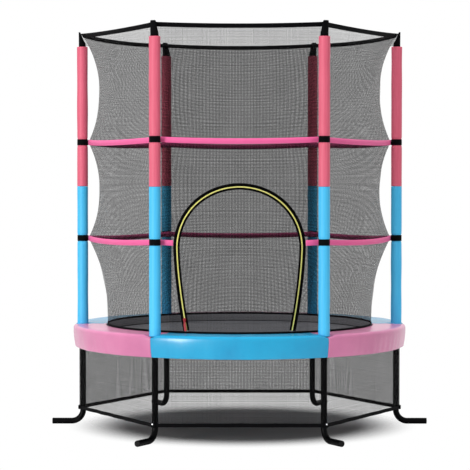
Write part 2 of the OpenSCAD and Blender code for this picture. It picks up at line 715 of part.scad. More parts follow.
// Closed-coil springs with a hook at each end
module springs() {
  inner_x = coil_end_r - spring_coil_len;
  ring_x = mat_edge_r + gap + wire_d / 2 + v_depth;
  color(steel) at_springs() {
    translate([inner_x, 0, ring_h]) rotate([0, 90, 0]) cylinder(d = spring_d, h = spring_coil_len);
    // Hook through the ring of the mat
    translate([ring_x - hook_in - wire_d, -wire_d / 2, ring_h + wire_d / 2 + gap])
      cube([inner_x - ring_x + hook_in + wire_d + 0.5, wire_d, wire_d]);
    translate([ring_x - hook_in - wire_d, -wire_d / 2, ring_h - wire_d / 2])
      cube([wire_d, wire_d, 1.5 * wire_d + gap]);
    // Hook against the ring tube
    translate([coil_end_r - 0.5, -wire_d / 2, ring_h - wire_d / 2]) cube([6.5 - gap, wire_d, wire_d]);
  }
}

// ---------------------------------------------------------------- pad

pad_foot_h = pad_top_h - pad_t;
// Half of the pad's cut, from its inner edge over the top and down the side flap
function pad_profile() = let (e = 5, shoulder = 13, crown = 1.5, w = pad_outer_r - pad_inner_r) concat(
  [[pad_inner_r + 3, pad_foot_h]],
  [for (a = [210, 180, 150, 120]) [pad_inner_r + e + e * cos(a), pad_top_h - crown - e + e * sin(a)]],
  [for (t = [0.2, 0.35, 0.5, 0.65, 0.8]) [pad_inner_r + w * t, pad_top_h - crown * pow(2 * t - 1, 2)]],
  [for (a = [70, 50, 30, 10]) [pad_outer_r - shoulder + shoulder * cos(a),
    pad_top_h - crown - shoulder + shoulder * sin(a)]],
  [[pad_outer_r, pad_top_h - 24], [pad_outer_r - 0.3 * pad_lean, pad_flap_h + 22],
   [pad_outer_r - pad_lean, pad_flap_h], [pad_outer_r - pad_lean - pad_flap_t, pad_flap_h],
   [pad_outer_r - 0.3 * pad_lean - pad_flap_t, pad_flap_h + 22],
   [pad_outer_r - pad_flap_t, pad_foot_h - 4], [pad_outer_r - pad_flap_t - 4, pad_foot_h]]
);
module pad(i, c) {
  cut = gap / 2 / pad_inner_r * 180 / PI;
  color(c) difference() {
    rotate([0, 0, i * sector + cut]) rotate_extrude(angle = sector - 2 * cut, $fn = 120) polygon(pad_profile());
    for (k = [i, i + 1]) at_pole(k) translate([0, 0, pad_flap_h]) {
      cylinder(r = tube_r + 1, h = pad_top_h - pad_flap_h + 1);
      cylinder(r = post_r + gap, h = ring_h + tee_r + tee_rise - pad_flap_h + gap);
    }
  }
}
module pad_right_back() { pad(0, pad_blue); }
module pad_back() { pad(1, pad_pink); }
module pad_left_back() { pad(2, pad_blue); }
module pad_left_front() { pad(3, pad_pink); }
module pad_front() { pad(4, pad_blue); }
module pad_right_front() { pad(5, pad_pink); }

// Black edging under the pad's inner edge
module pad_binding() {
  color(black) translate([0, 0, pad_foot_h - 3 - gap]) difference() {
    cylinder(r = pad_inner_r + 8, h = 3, $fn = 96);
    translate([0, 0, -1]) cylinder(r = pad_inner_r - 1, h = 5, $fn = 96);
  }
}

// ---------------------------------------------------------------- skirt

skirt_r = pole_circle_r + (tube_r + gap) / cos(sector / 2);
skirt_top_h = ring_h - tee_drop - 4;
skirt_hem_t = 1.6;
// One flat panel of a six-sided skirt whose inner corners lie at radius skirt_r + d
module skirt_side(i, d, t, z, h) {
  a = (skirt_r + d) * cos(sector / 2);
  w = (skirt_r + d) * sin(sector / 2) - gap / 2;
  translate([0, 0, z]) panel_place(i) linear_extrude(h) polygon([
    [-w, a], [-w - t * tan(sector / 2), a + t], [w + t * tan(sector / 2), a + t], [w, a]
  ]);
}
module skirt_net() {
  color(mesh_grey) for (i = [0 : sides - 1])
    skirt_side(i, 0, skirt_t, skirt_foot_h + 3, skirt_top_h - skirt_foot_h - 3);
}
module skirt_hem() {
  color(black) for (i = [0 : sides - 1])
    skirt_side(i, (skirt_t + gap) / cos(sector / 2), skirt_hem_t, skirt_foot_h, skirt_hem_w);
}
// Gathered fabric tie that holds each corner of the skirt to its leg
module skirt_ties() {
  hem_out = skirt_r + (skirt_t + 2 * gap + skirt_hem_t) / cos(sector / 2);
  tie_foot_h = skirt_foot_h - 0.15 * skirt_tie_h;
  // Its outline, as shares of its radius and height
  outline = [[0, 0], [0.57, 0.04], [0.93, 0.23], [1, 0.46], [0.86, 0.77], [0.5, 0.96], [0, 1]];
  color(black) for (i = [0 : sides - 1]) difference() {
    rotate([0, 0, i * sector]) translate([hem_out - skirt_tie_r / 7, 0, tie_foot_h]) rotate_extrude($fn = 32)
      polygon([for (p = outline) [p[0] * skirt_tie_r, p[1] * skirt_tie_h]]);
    translate([0, 0, tie_foot_h - 1]) linear_extrude(skirt_tie_h + 2)
      polygon([for (k = [0 : sides - 1]) hem_out * [cos(k * sector), sin(k * sector)]]);
  }
}

// ---------------------------------------------------------------- output

rail(0);  // rail_1
rail(1);  // rail_2
rail(2);  // rail_3
rail(3);  // rail_4
rail(4);  // rail_5
rail(5);  // rail_6
leg(0);  // leg_1
leg(1);  // leg_2
leg(2);  // leg_3
leg(3);  // leg_4
leg(4);  // leg_5
leg(5);  // leg_6
corner_tees();
rail_screws();
foot_plugs();
lower_poles();
upper_poles();
pole_caps();
blue_sleeves();
pink_sleeves();
upper_bands();
lower_bands();
net_right_back();
net_back();
net_left_back();
net_left_front();
net_front();
net_right_front();
net_hem();
net_foot_tape();
corner_pockets();
upper_strap();
lower_strap();
zip_tape();
zip_teeth();
door_panel();
door_tape();
door_teeth();
zip_slider();
zip_pull();
mat();
mat_border();
v_rings();
springs();
pad_right_back();
pad_back();
pad_left_back();
pad_left_front();
pad_front();
pad_right_front();
pad_binding();
skirt_net();
skirt_hem();
skirt_ties();
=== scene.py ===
"""A small round trampoline with a padded rim, a safety net on foam-covered poles and an arched zip door."""
import math

import bpy
import numpy as np
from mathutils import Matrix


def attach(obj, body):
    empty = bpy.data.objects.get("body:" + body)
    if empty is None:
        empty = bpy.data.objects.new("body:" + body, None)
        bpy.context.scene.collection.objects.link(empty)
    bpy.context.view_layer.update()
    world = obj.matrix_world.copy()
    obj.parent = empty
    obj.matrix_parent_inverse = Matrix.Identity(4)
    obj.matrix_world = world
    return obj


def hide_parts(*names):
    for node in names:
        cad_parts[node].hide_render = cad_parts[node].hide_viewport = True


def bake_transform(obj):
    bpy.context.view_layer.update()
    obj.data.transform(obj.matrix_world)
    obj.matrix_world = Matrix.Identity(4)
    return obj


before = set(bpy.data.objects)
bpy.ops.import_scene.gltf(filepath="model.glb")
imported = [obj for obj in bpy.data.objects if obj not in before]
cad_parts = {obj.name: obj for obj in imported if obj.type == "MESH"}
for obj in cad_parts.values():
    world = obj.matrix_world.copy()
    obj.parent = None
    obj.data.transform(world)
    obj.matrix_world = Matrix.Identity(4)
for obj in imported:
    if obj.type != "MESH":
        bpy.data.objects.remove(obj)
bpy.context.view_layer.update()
scene = bpy.context.scene
scene.view_settings.view_transform = "Standard"

# ------------------------------ camera
# Stands about a metre high, well back from the door, and looks a little down.
# The frame is square and the object stands slightly right of its middle.
eye = bpy.data.cameras.new("eye")
eye.lens, eye.sensor_width = 140.2, 36.0
eye.clip_end = 60.0
camera = bpy.data.objects.new("camera", eye)
camera.location = (0.0, -7.726, 1.025)
camera.rotation_euler = (math.radians(90 - 1.674), 0.0, math.radians(0.141))
scene.collection.objects.link(camera)
scene.camera = camera


# ------------------------------ light and floor
# A large soft lamp overhead, one at the front left, a weak one at the right, and a pale room all
# round. The floor is a pale disc that keeps the shadow, has a painted shadow that is darkest under the front,
# and fades out into white.
def lamp(name, place, aim, size, watts, mirrored=True):
    """A square area lamp at one point that faces another, and shows in glossy surfaces or doesn't."""
    data = bpy.data.lights.new(name, "AREA")
    data.shape, data.size, data.energy = "SQUARE", size, watts
    lit = bpy.data.objects.new(name, data)
    lit.location = place
    lit.visible_glossy = mirrored
    away = np.array(aim, float) - np.array(place, float)
    tip = math.pi / 2 - math.atan2(-away[2], math.hypot(away[0], away[1]))
    lit.rotation_euler = (tip, 0.0, math.atan2(away[1], away[0]) - math.pi / 2)
    scene.collection.objects.link(lit)


lamp("key", (-4.2, -5.0, 0.9), (0, 0, 0.8), 1.8, 245)
lamp("fill", (4.8, -4.2, 0.9), (0, 0, 0.8), 1.8, 72, mirrored=False)
lamp("overhead", (-0.2, -0.2, 4.6), (0, 0, 0.4), 2.0, 240, mirrored=False)


class Value:
    """An output of a shader node. Ordinary maths on it adds the Math nodes that work it out."""

    def __init__(self, tree, socket):
        self.tree, self.socket = tree, socket

    def math(self, operation, *others):
        """This value and the others through one Math node."""
        node = self.tree.nodes.new("ShaderNodeMath")
        node.operation = operation
        for socket, value in zip(node.inputs, (self, *others)):
            join(self.tree, socket, value)
        return Value(self.tree, node.outputs[0])

    def __add__(self, other):
        return self.math("ADD", other)

    def __mul__(self, other):
        return self.math("MULTIPLY", other)

    def __sub__(self, other):
        return self.math("SUBTRACT", other)

    def __rsub__(self, other):
        return self.math("MULTIPLY", -1.0).math("ADD", other)

    def __pow__(self, other):
        return self.math("POWER", other)

    __radd__, __rmul__ = __add__, __mul__

    def ramp(self, low, high):
        """0 below low, 1 above high, and smooth between them."""
        node = self.tree.nodes.new("ShaderNodeMapRange")
        node.interpolation_type = "SMOOTHSTEP"
        for name, value in (("Value", self), ("From Min", low), ("From Max", high)):
            join(self.tree, node.inputs[name], value)
        return Value(self.tree, node.outputs[0])

    def wave(self, length):
        """A cosine of this value from 0 to 1 and back, once in that length."""
        return (self * (2 * math.pi / length)).math("COSINE") * 0.5 + 0.5


def join(tree, socket, value):
    """Links an output to a socket, or sets the socket to a number or colour."""
    if isinstance(value, Value):
        tree.links.new(value.socket, socket)
    else:
        socket.default_value = value


class Finish:
    """A material for the object's pieces: node() adds a node, shade() sets the shader's own sockets."""

    def __init__(self, name, tree=None):
        if tree is None:
            self.material = bpy.data.materials.new(name)
            self.material.use_nodes = True
            tree = self.material.node_tree
        self.tree = tree
        self.shader = tree.nodes.get("Principled BSDF")

    def node(self, kind, sockets=(), outlet=0, **settings):
        """A node of that type, with its settings made first and then its sockets."""
        node = self.tree.nodes.new(kind)
        for name, value in settings.items():
            setattr(node, name, value)
        for name, value in dict(sockets).items():
            join(self.tree, node.inputs[name], value)
        return Value(self.tree, node.outputs[outlet])

    def place(self):
        """The point of the object that is being coloured, in metres."""
        return self.node("ShaderNodeTexCoord", outlet="Object")

    def uv(self):
        """The piece's own map, in metres along and across its cloth."""
        return self.node("ShaderNodeUVMap", uv_map="cloth")

    def parts(self, vector):
        """The x, y and z of a vector."""
        node = self.tree.nodes.new("ShaderNodeSeparateXYZ")
        join(self.tree, node.inputs[0], vector)
        return [Value(self.tree, s) for s in node.outputs]

    def noise(self, scale, detail=2.0, vector=None):
        """Noise whose grains are about one part in scale of a metre, spread round 0.5."""
        return self.node("ShaderNodeTexNoise",
                         {"Vector": vector or self.place(), "Scale": scale, "Detail": detail})

    def mix(self, share, one, other):
        """A colour between two, by share."""
        return self.node("ShaderNodeMix", {0: share, 6: one, 7: other}, outlet=2, data_type="RGBA")

    def bump(self, height, depth):
        """Raises the surface by height, from 0 to 1, times depth in metres."""
        normal = self.node("ShaderNodeBump", {"Height": height, "Distance": depth, "Strength": 1.0})
        self.shade(Normal=normal)

    def shade(self, **sockets):
        """Gives the shader's sockets a number, a colour or a pattern; an underscore stands for a space."""
        for name, value in sockets.items():
            join(self.tree, self.shader.inputs[name.replace("_", " ")], value)


def tone(red, green, blue):
    """A colour written in screen values from 0 to 255, as the shader's linear one."""
    c = np.array([red, green, blue]) / 255
    c = np.where(c > 0.04045, ((c + 0.055) / 1.055) ** 2.4, c / 12.92)
    return (*[float(x) for x in c], 1.0)


# The room is white where it is looked at, also through the net, and dimmer where it only lights.
ROOM_LIGHT, ROOM_MIRRORED = 0.45, 0.5
world = bpy.data.worlds.new("room")
world.use_nodes = True
scene.world = world
room = Finish("room", world.node_tree)
looked_at, mirrored, seen_through = [room.node("ShaderNodeLightPath", outlet=ray)
                                     for ray in ("Is Camera Ray", "Is Glossy Ray", "Is Transmission Ray")]
straight = looked_at.math("MAXIMUM", seen_through)
strength = straight + (1 - straight) * (mirrored * ROOM_MIRRORED + ROOM_LIGHT)
walls = world.node_tree.nodes["Background"].inputs
join(world.node_tree, walls["Strength"], strength)
walls["Color"].default_value = (1, 1, 1, 1)

# The floor's shadow is an oval. The camera sees it fade out sooner than the light that it throws back.
FLOOR_R, SHADOW_X, SHADOW_Y, SHADOW_WIDTH = 6.0, 0.01, -0.02, 0.95
SEEN_FADE, LIT_FADE, PAINTED_SHADOW_EDGE = (0.45, 0.71), (0.86, 1.4), (-0.15, 0.15)
PALE_GREY, PAINTED_SHADOW_GREY = (0.90, 0.90, 0.90, 1), (0.28, 0.28, 0.28, 1)
bpy.ops.mesh.primitive_circle_add(vertices=96, radius=FLOOR_R, fill_type="TRIFAN")
floor = bpy.context.object
floor.name = "floor"
ground = Finish("pale_floor")
camera_ray = ground.node("ShaderNodeLightPath", outlet="Is Camera Ray")
x, y, _ = ground.parts(ground.place())
x, y = (x - SHADOW_X) * SHADOW_WIDTH, y - SHADOW_Y
away = (x * x + y * y).math("SQRT")
fade = camera_ray * away.ramp(*SEEN_FADE) + (1 - camera_ray) * away.ramp(*LIT_FADE)
# painted shadow: for the camera the floor's colour turns from pale grey to dark grey towards the front
painted_front_shadow = camera_ray * (1 - y.ramp(*PAINTED_SHADOW_EDGE))
ground.shade(Base_Color=ground.mix(painted_front_shadow, PALE_GREY, PAINTED_SHADOW_GREY), Roughness=1.0, Specular_IOR_Level=0.0)
clear = ground.node("ShaderNodeBsdfTransparent")
solid = Value(ground.tree, ground.shader.outputs[0])
floor_mix = ground.node("ShaderNodeMixShader", {0: fade, 1: solid, 2: clear})
ground.tree.links.new(floor_mix.socket, ground.tree.nodes["Material Output"].inputs["Surface"])
floor.data.materials.append(ground.material)

# ------------------------------ steel frame
# Legs, ring rails, corner fittings and poles are steel tube with a black powder coat, which has
# a fine orange-peel surface and is rubbed a little where the feet meet the ground.
coat = Finish("powder_coat")
peel = coat.noise(900.0, 3.0)
wear = coat.noise(14.0, 4.0)
_, _, height = coat.parts(coat.place())
# scuffed only within 30 mm of the ground
scuff = wear.ramp(0.55, 0.75) * (1 - height.ramp(0.004, 0.03))
coat.shade(Base_Color=coat.mix(scuff, tone(3, 3, 4), tone(34, 33, 32)),
           Roughness=0.30 + wear * 0.12 + scuff * 0.25, Specular_IOR_Level=0.05)
coat.bump(peel, 0.00012)


def dress(finish, *nodes):
    """Gives a finish to pieces that keep their shape."""
    for n in nodes:
        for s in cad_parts[n].material_slots:
            s.material = finish.material


legs = [f"leg_{i}" for i in range(1, 7)]
rails = [f"rail_{i}" for i in range(1, 7)]
dress(coat, *legs, *rails, "corner_tees", "lower_poles", "upper_poles")

# Plugs in the feet and caps in the poles: black polyethylene, moulded with a dull skin.
plug = Finish("moulded_black")
plug.shade(Base_Color=plug.mix(plug.noise(30.0), tone(4, 4, 4), tone(10, 10, 11)),
           Roughness=0.5 + plug.noise(160.0) * 0.2, Specular_IOR_Level=0.12)
plug.bump(plug.noise(1500.0), 0.00006)
dress(plug, "foot_plugs", "pole_caps")

# ------------------------------ springs
# Thirty-six closed-coil springs pull the mat to the ring. Each is zinc-plated wire wound in one
# run, with a straight hook at both ends; the rings in the mat's border are of the same wire.
zinc = Finish("zinc_wire")
stain = zinc.noise(60.0, 4.0)
zinc.shade(Base_Color=zinc.mix(stain, tone(196, 198, 201), tone(160, 161, 160)), Metallic=1.0,
           Roughness=0.24 + stain * 0.22)
zinc.bump(zinc.noise(2500.0), 0.00004)
dress(zinc, "v_rings", "rail_screws")

RING_H, POLE_R, TUBE_R = 0.395, 0.662, 0.0125
SPRINGS, WIRE, COIL_R = 36, 0.0026, 0.0085
HOOK_IN_R, COIL_START, COIL_END = 0.5622, 0.5915, 0.6435
TURN_PITCH, TURN_STEPS, WIRE_SIDES = WIRE * 1.12, 14, 6


def xyz(x, y, z):
    """Points from their three coordinates, of which any may be one number for all of them."""
    return np.stack(np.broadcast_arrays(x, y, z), axis=-1)


def turned(points, degrees):
    """The points turned about the upright axis."""
    c, s = math.cos(math.radians(degrees)), math.sin(math.radians(degrees))
    x, y, z = np.moveaxis(np.array(points, float), -1, 0)
    return xyz(x * c - y * s, x * s + y * c, z)


def mesh_piece(name, points, faces, finish, uv=None, smooth=True):
    """A mesh object at the origin, of an array of points and arrays of faces with the same corner count."""
    points = np.asarray(points, float).reshape(-1, 3)
    mesh = bpy.data.meshes.new(name)
    mesh.vertices.add(len(points))
    mesh.vertices.foreach_set("co", points.astype(np.float32).ravel())
    faces = faces if isinstance(faces, list) else [faces]
    corners = np.concatenate([f.ravel() for f in faces])
    counts = np.concatenate([np.full(len(f), f.shape[1]) for f in faces])
    mesh.loops.add(len(corners))
    mesh.loops.foreach_set("vertex_index", corners.astype(np.int32))
    mesh.polygons.add(len(counts))
    mesh.polygons.foreach_set("loop_start", np.concatenate([[0], np.cumsum(counts)[:-1]]).astype(np.int32))
    mesh.update(calc_edges=True)
    if uv is not None:
        layer = mesh.uv_layers.new(name="cloth")
        layer.data.foreach_set("uv", uv.astype(np.float32).ravel())
    mesh.polygons.foreach_set("use_smooth", np.full(len(counts), smooth))
    mesh.validate()
    piece = bpy.data.objects.new(name, mesh)
    scene.collection.objects.link(piece)
    mesh.materials.append(finish.material)
    return piece


def grid_faces(rows, cols, round_rows=False, round_cols=False):
    """Four-cornered faces of a grid of points, rows by cols, that may close on itself either way."""
    i = np.arange(rows if round_rows else rows - 1)[:, None]
    j = np.arange(cols if round_cols else cols - 1)[None, :]
    a, b = i * cols + j, i * cols + (j + 1) % cols
    c, d = (i + 1) % rows * cols + (j + 1) % cols, (i + 1) % rows * cols + j
    return np.stack([a, b, c, d], axis=-1).reshape(-1, 4)


def grid_uv(us, vs, rows, cols, round_rows=False, round_cols=False):
    """The map of grid_faces' corners: us along a row, vs from row to row, both one longer where closed."""
    i = np.arange(rows if round_rows else rows - 1)[:, None]
    j = np.arange(cols if round_cols else cols - 1)[None, :]
    i, j = np.broadcast_arrays(i, j)
    u = np.stack([us[j], us[j + 1], us[j + 1], us[j]], axis=-1)
    v = np.stack([vs[i], vs[i], vs[i + 1], vs[i + 1]], axis=-1)
    return np.stack([u, v], axis=-1)


def tube_along(path, radius, sides):
    """Rings of points round a path: each ring is a circle square to the path's direction there."""
    path = np.asarray(path, float)
    ahead = np.gradient(path, axis=0)
    ahead /= np.linalg.norm(ahead, axis=1)[:, None]
    side = np.cross(ahead, [0.0, 0.0, 1.0])
    flat = np.linalg.norm(side, axis=1) < 1e-4
    side[flat] = [0.0, 1.0, 0.0]
    side /= np.linalg.norm(side, axis=1)[:, None]
    up = np.cross(side, ahead)
    a = np.arange(sides) * 2 * np.pi / sides
    return path[:, None] + radius * (np.cos(a)[:, None] * side[:, None] + np.sin(a)[:, None] * up[:, None])


def spring_path():
    """A hook through the ring, a helix of nearly touching turns that narrow to 0.35 of their radius at
    both ends, and a hook against the tube, as one line."""
    turns = int((COIL_END - COIL_START) / TURN_PITCH)
    t = np.linspace(0, 1, turns * TURN_STEPS + 1)
    a = 2 * np.pi * turns * t + np.pi / 2
    r = (COIL_R - WIRE / 2) * np.minimum(1, 0.35 + 8.4 * np.minimum(t, 1 - t))
    coil = xyz(COIL_START + (COIL_END - COIL_START) * t, r * np.cos(a), RING_H + r * np.sin(a))
    top = RING_H + WIRE + 0.0003
    hook = [[HOOK_IN_R, 0, RING_H - 0.001], [HOOK_IN_R, 0, RING_H + 0.0012], [HOOK_IN_R + 0.0012, 0, top],
            [HOOK_IN_R + 0.012, 0, top], [COIL_START - 0.002, 0, top]]
    last = [[COIL_END + 0.0015, 0, RING_H + 0.001], [COIL_END + 0.0048, 0, RING_H]]
    return np.concatenate([hook, coil, last])


def fixed(piece, node=None, first=True):
    """Fixes a piece to the frame. It stands for a plain node where one is named, and
    where several pieces share that node, the first one stands for it."""
    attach(piece, "frame")
    if node and first:
        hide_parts(node)
    return piece


def copies(faces, count, points):
    """One copy's faces, repeated for a count of copies that have so many points each."""
    return np.concatenate([faces + points * i for i in range(count)])


spring = tube_along(spring_path(), WIRE / 2, WIRE_SIDES)
springs = np.stack([turned(spring, (i + 0.5) * 360 / SPRINGS) for i in range(SPRINGS)])
points = len(spring) * WIRE_SIDES
wire_faces = grid_faces(len(spring), WIRE_SIDES, round_cols=True)[:, ::-1]
end = np.arange(WIRE_SIDES)
end_faces = np.array([end, points - 1 - end])
faces = [copies(f, SPRINGS, points) for f in (wire_faces, end_faces)]
fixed(mesh_piece("coil_springs", springs, faces, zinc), "springs")

# ------------------------------ jumping mat
# Black polypropylene, woven tightly from flat tape, so it has a fine square grain and a dull
# sheen. It is cut as a disc and gives most in its middle; the doubled border stays at the springs.
mat_cloth = Finish("woven_mat")
u, v, _ = mat_cloth.parts(mat_cloth.place())
TAPE = 0.0018
weave = (u.wave(TAPE) * v.wave(TAPE * 2)) + ((1 - u.wave(TAPE)) * (1 - v.wave(TAPE * 2)))
streak = mat_cloth.noise(9.0, 3.0)
mat_cloth.shade(Base_Color=mat_cloth.mix(weave * 0.6 + streak * 0.4, tone(67, 67, 70), tone(111, 111, 116)),
                Roughness=0.42 + weave * 0.2, Specular_IOR_Level=0.5)
mat_cloth.bump(weave, 0.00025)

MAT_R, MAT_H, WEDGES = 0.540, RING_H + 0.001, 18
MAT_RINGS, MAT_RAYS, MIDDLE_R = 46, 15, 0.03

# One wedge of the disc, as rings and rays round its tip. Its edges lie on its neighbours' edges.
half = 180 / WEDGES
radii = np.linspace(0.004, MAT_R, MAT_RINGS)[:, None]
rays = np.radians(np.linspace(-half, half, MAT_RAYS))
flat = xyz(radii * np.cos(rays), radii * np.sin(rays), MAT_H).reshape(-1, 3)
wedge_points = np.concatenate([[[0.0, 0.0, MAT_H]], flat])
ray = np.arange(1, MAT_RAYS)
wedge_faces = [np.stack([0 * ray, ray, ray + 1], axis=-1), grid_faces(MAT_RINGS, MAT_RAYS)[:, ::-1] + 1]
for k in range(WEDGES):
    wedge = mesh_piece(f"mat_{k + 1}", turned(wedge_points, (2 * k + 1) * half), wedge_faces, mat_cloth)
    way = turned([[1.0, 0.0, 0.0]], (2 * k + 1) * half)[0]
    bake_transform(wedge)
    if k == 0:
        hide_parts("mat")


# Border: a doubled band of webbing round the mat, stitched down in two rows.
def loft(name, rings, finish, closed=False, smooth=True):
    """A skin over rings of points. The map runs in metres round a ring and from ring to ring. The volume
    a.(b x c + c x d) over its faces tells which way they point, and they are turned where it is negative."""
    rings = np.asarray(rings, float)
    n, m = rings.shape[:2]
    around = np.linalg.norm(np.diff(np.concatenate([rings[n // 2], rings[n // 2][:1]]), axis=0), axis=1)
    steps = np.linalg.norm(np.diff(rings.mean(axis=1), axis=0), axis=1)
    us = np.concatenate([[0], np.cumsum(around)])
    vs = np.concatenate([[0], np.cumsum(steps), [steps.sum() + (steps[0] if closed else 0)]])
    quads = grid_faces(n, m, closed, True)
    uv = grid_uv(us, vs, n, m, closed, True)
    caps = [] if closed else [np.array([np.arange(m)[::-1], (n - 1) * m + np.arange(m)])]
    a, b, c, d = ((rings - rings.mean(axis=(0, 1))).reshape(-1, 3)[quads[:, k]] for k in range(4))
    if np.sum(a * (np.cross(b, c) + np.cross(c, d))) < 0:
        quads, uv, caps = quads[:, ::-1], uv[..., ::-1, :], [f[:, ::-1] for f in caps]
    uv = uv.reshape(-1, 2)
    if not closed:
        uv = np.concatenate([uv, np.zeros((2 * m, 2))])
    return mesh_piece(name, rings, [quads, *caps], finish, uv, smooth)


def sweep_round(section, count):
    """A closed section of [radius, height] points carried once round the upright axis."""
    radius, height = np.array(section, float).T
    return np.stack([turned(xyz(radius, 0.0, height), 360 * k / count) for k in range(count)])


def webbing(name, base, other, rib, shine, gloss, sheen):
    """Narrow woven tape: ribs across it, a faint twill along it and a slightly furry edge."""
    tape = Finish(name)
    u, v, _ = tape.parts(tape.uv())
    ribs = v.wave(rib) * 0.6 + (u + v * 0.5).wave(rib * 2.2) * 0.4
    worn = tape.noise(35.0, 3.0)
    tape.shade(Base_Color=tape.mix(ribs * 0.45 + worn * 0.55, base, other), Roughness=shine + ribs * 0.2,
               Sheen_Weight=sheen, Specular_IOR_Level=gloss)
    tape.bump(ribs, 0.00022)
    return tape


def tape_cut(near, far, low, high, rounding):
    """The cut through a flat tape: a rectangle with its corners taken off by the rounding."""
    r = rounding
    return [(near, low + r), (near + r, low), (far - r, low), (far, low + r),
            (far, high - r), (far - r, high), (near + r, high), (near, high - r)]


black_tape = webbing("black_webbing", tone(2, 2, 3), tone(12, 12, 14), 0.0014, 0.6, 0.04, 0.01)
BORDER_IN, BORDER_OUT, BORDER_T, BORDER_STEPS = 0.5403, 0.5543, 0.004, 240
BORDER_TOP = RING_H + BORDER_T / 2
border_cut = tape_cut(BORDER_IN, BORDER_OUT, RING_H - BORDER_T / 2, BORDER_TOP, 0.0006)
border = loft("mat_border_webbing", sweep_round(border_cut, BORDER_STEPS), black_tape, closed=True)
fixed(border, "mat_border")

thread = Finish("black_thread")
thread.shade(Base_Color=thread.mix(thread.noise(400.0), tone(14, 14, 15), tone(36, 36, 39)), Roughness=0.6)
STITCH, STITCH_GAP, THREAD_T = 0.006, 0.0025, 0.0005


def run_along(points):
    """The distance of each point from the first, along the line that they make."""
    return np.concatenate([[0], np.cumsum(np.linalg.norm(np.diff(points, axis=0), axis=1))])


def stitches(name, radius):
    """A circle of stitches on the border. Each is a short bar whose four rings are diamonds, and the two
    at its ends are smaller and sink into the webbing."""
    turn = np.linspace(0, 2 * np.pi, BORDER_STEPS + 1)
    seam = np.column_stack([radius * np.cos(turn), radius * np.sin(turn)])
    run = run_along(seam)
    starts = np.arange(STITCH_GAP, run[-1] - STITCH, STITCH + STITCH_GAP)
    s = starts[:, None] + STITCH * np.array([0.0, 0.18, 0.82, 1.0])
    line = xyz(np.interp(s, run, seam[:, 0]), np.interp(s, run, seam[:, 1]), BORDER_TOP + 0.0001)
    ahead = line[:, -1] - line[:, 0]
    ahead /= np.linalg.norm(ahead, axis=-1)[:, None]
    up = np.array([0.0, 0.0, 1.0])
    side = np.cross(ahead, up)[:, None]
    lift = np.array([-0.2, 0.8, 0.8, -0.2])[:, None]
    wide = np.array([0.4, 1.0, 1.0, 0.4])[:, None]
    rings = np.stack([line + up * THREAD_T * (lift + a * wide) + side * THREAD_T * b * wide
                      for a, b in ((0.5, 0.0), (0.0, 0.7), (-0.5, 0.0), (0.0, -0.7))], axis=2)
    bar = np.concatenate([grid_faces(4, 4, round_cols=True), [[3, 2, 1, 0], [12, 13, 14, 15]]])
    fixed(mesh_piece(name, rings, copies(bar, len(starts), 16), thread))


stitches("border_stitches_1", BORDER_IN + 0.0022)
stitches("border_stitches_2", BORDER_OUT - 0.0021)

# ------------------------------ rim pad
# Six lengths of foam in glossy PVC-coated cloth, by turns pink and blue, lie over the springs. Each
# is sewn along its ends, and its outer skin hangs on below the foam as a flap that hides the ring.
PAD_IN, PAD_OUT, PAD_TOP, PAD_FOOT, FLAP_H = 0.560, 0.6985, 0.428, 0.410, 0.338
LEAN, FLAP_T, DENT, SEAM_GAP, PAD_ROWS = 0.0095, 0.0032, 0.0095, 0.0003, 190
NOSE_R, SHOULDER_R, FLAP_START = 0.006, 0.014, PAD_TOP - 0.022
PUCKER_REACH, RIPPLE, END_SINK, END_PULL = 0.022, 0.0006, 0.0035, 0.0012
FLAP_WAVE, FLAP_RIPPLE, DENT_R, DENT_REACH = 0.0022, 0.0007, 0.024, 0.012
FITTING_TOP, FITTING_R, POLE_ROOM = 0.415, 0.0166, 0.0012


def pvc(name, base, shade):
    """Coated cloth: a glossy skin over a fine weave, with soft dents and a little dust."""
    skin = Finish(name)
    u, v, _ = skin.parts(skin.uv())
    weave = u.wave(0.0011) * v.wave(0.0011)
    dent = skin.noise(22.0, 3.0)
    dust = skin.noise(6.0, 5.0)
    skin.shade(Base_Color=skin.mix(dust.ramp(0.35, 0.75), base, shade), Roughness=0.34 + dent * 0.12,
               Specular_IOR_Level=0.2, Coat_Weight=0.8, Coat_Roughness=0.26)
    skin.bump(weave * 0.2 + dent * 0.8, 0.0005)
    return skin


pad_skins = {"pink": pvc("pink_pvc", tone(207, 121, 162), tone(194, 109, 151)),
             "blue": pvc("blue_pvc", tone(4, 158, 204), tone(2, 142, 190))}


def pad_section():
    """The cut through a pad, in six runs: the nose is an arc at the inner edge, the crown a low parabola
    and the shoulder an arc. The flap leans in by a 1.7 power, and the last two go back inside and under."""
    a = np.radians([250, 225, 200, 180, 160, 140, 120, 105])
    nose = [PAD_IN + NOSE_R + NOSE_R * np.cos(a), PAD_TOP - 0.0015 - NOSE_R + NOSE_R * np.sin(a)]
    t = np.linspace(0.12, 0.86, 22)
    crown = [PAD_IN + (PAD_OUT - PAD_IN) * t, PAD_TOP - 0.0015 * (2 * t - 1) ** 2]
    a = np.radians([78, 66, 54, 42, 30, 18, 6])
    shoulder = [PAD_OUT - SHOULDER_R * (1 - np.cos(a)), PAD_TOP - 0.0005 - SHOULDER_R * (1 - np.sin(a))]
    t = np.linspace(0, 1, 20)
    flap = [PAD_OUT - LEAN * t ** 1.7, FLAP_START - (FLAP_START - FLAP_H) * t]
    inside = [flap[0][:3:-1] - FLAP_T, flap[1][:3:-1]]
    under = [[PAD_OUT - 0.008, PAD_OUT - 0.045, PAD_IN + 0.06, PAD_IN + 0.012],
             [PAD_FOOT, PAD_FOOT - 0.0005, PAD_FOOT - 0.0005, PAD_FOOT + 0.0005]]
    return [np.column_stack(run) for run in (nose, crown, shoulder, flap, inside, under)]


runs = pad_section()
section = np.concatenate(runs)
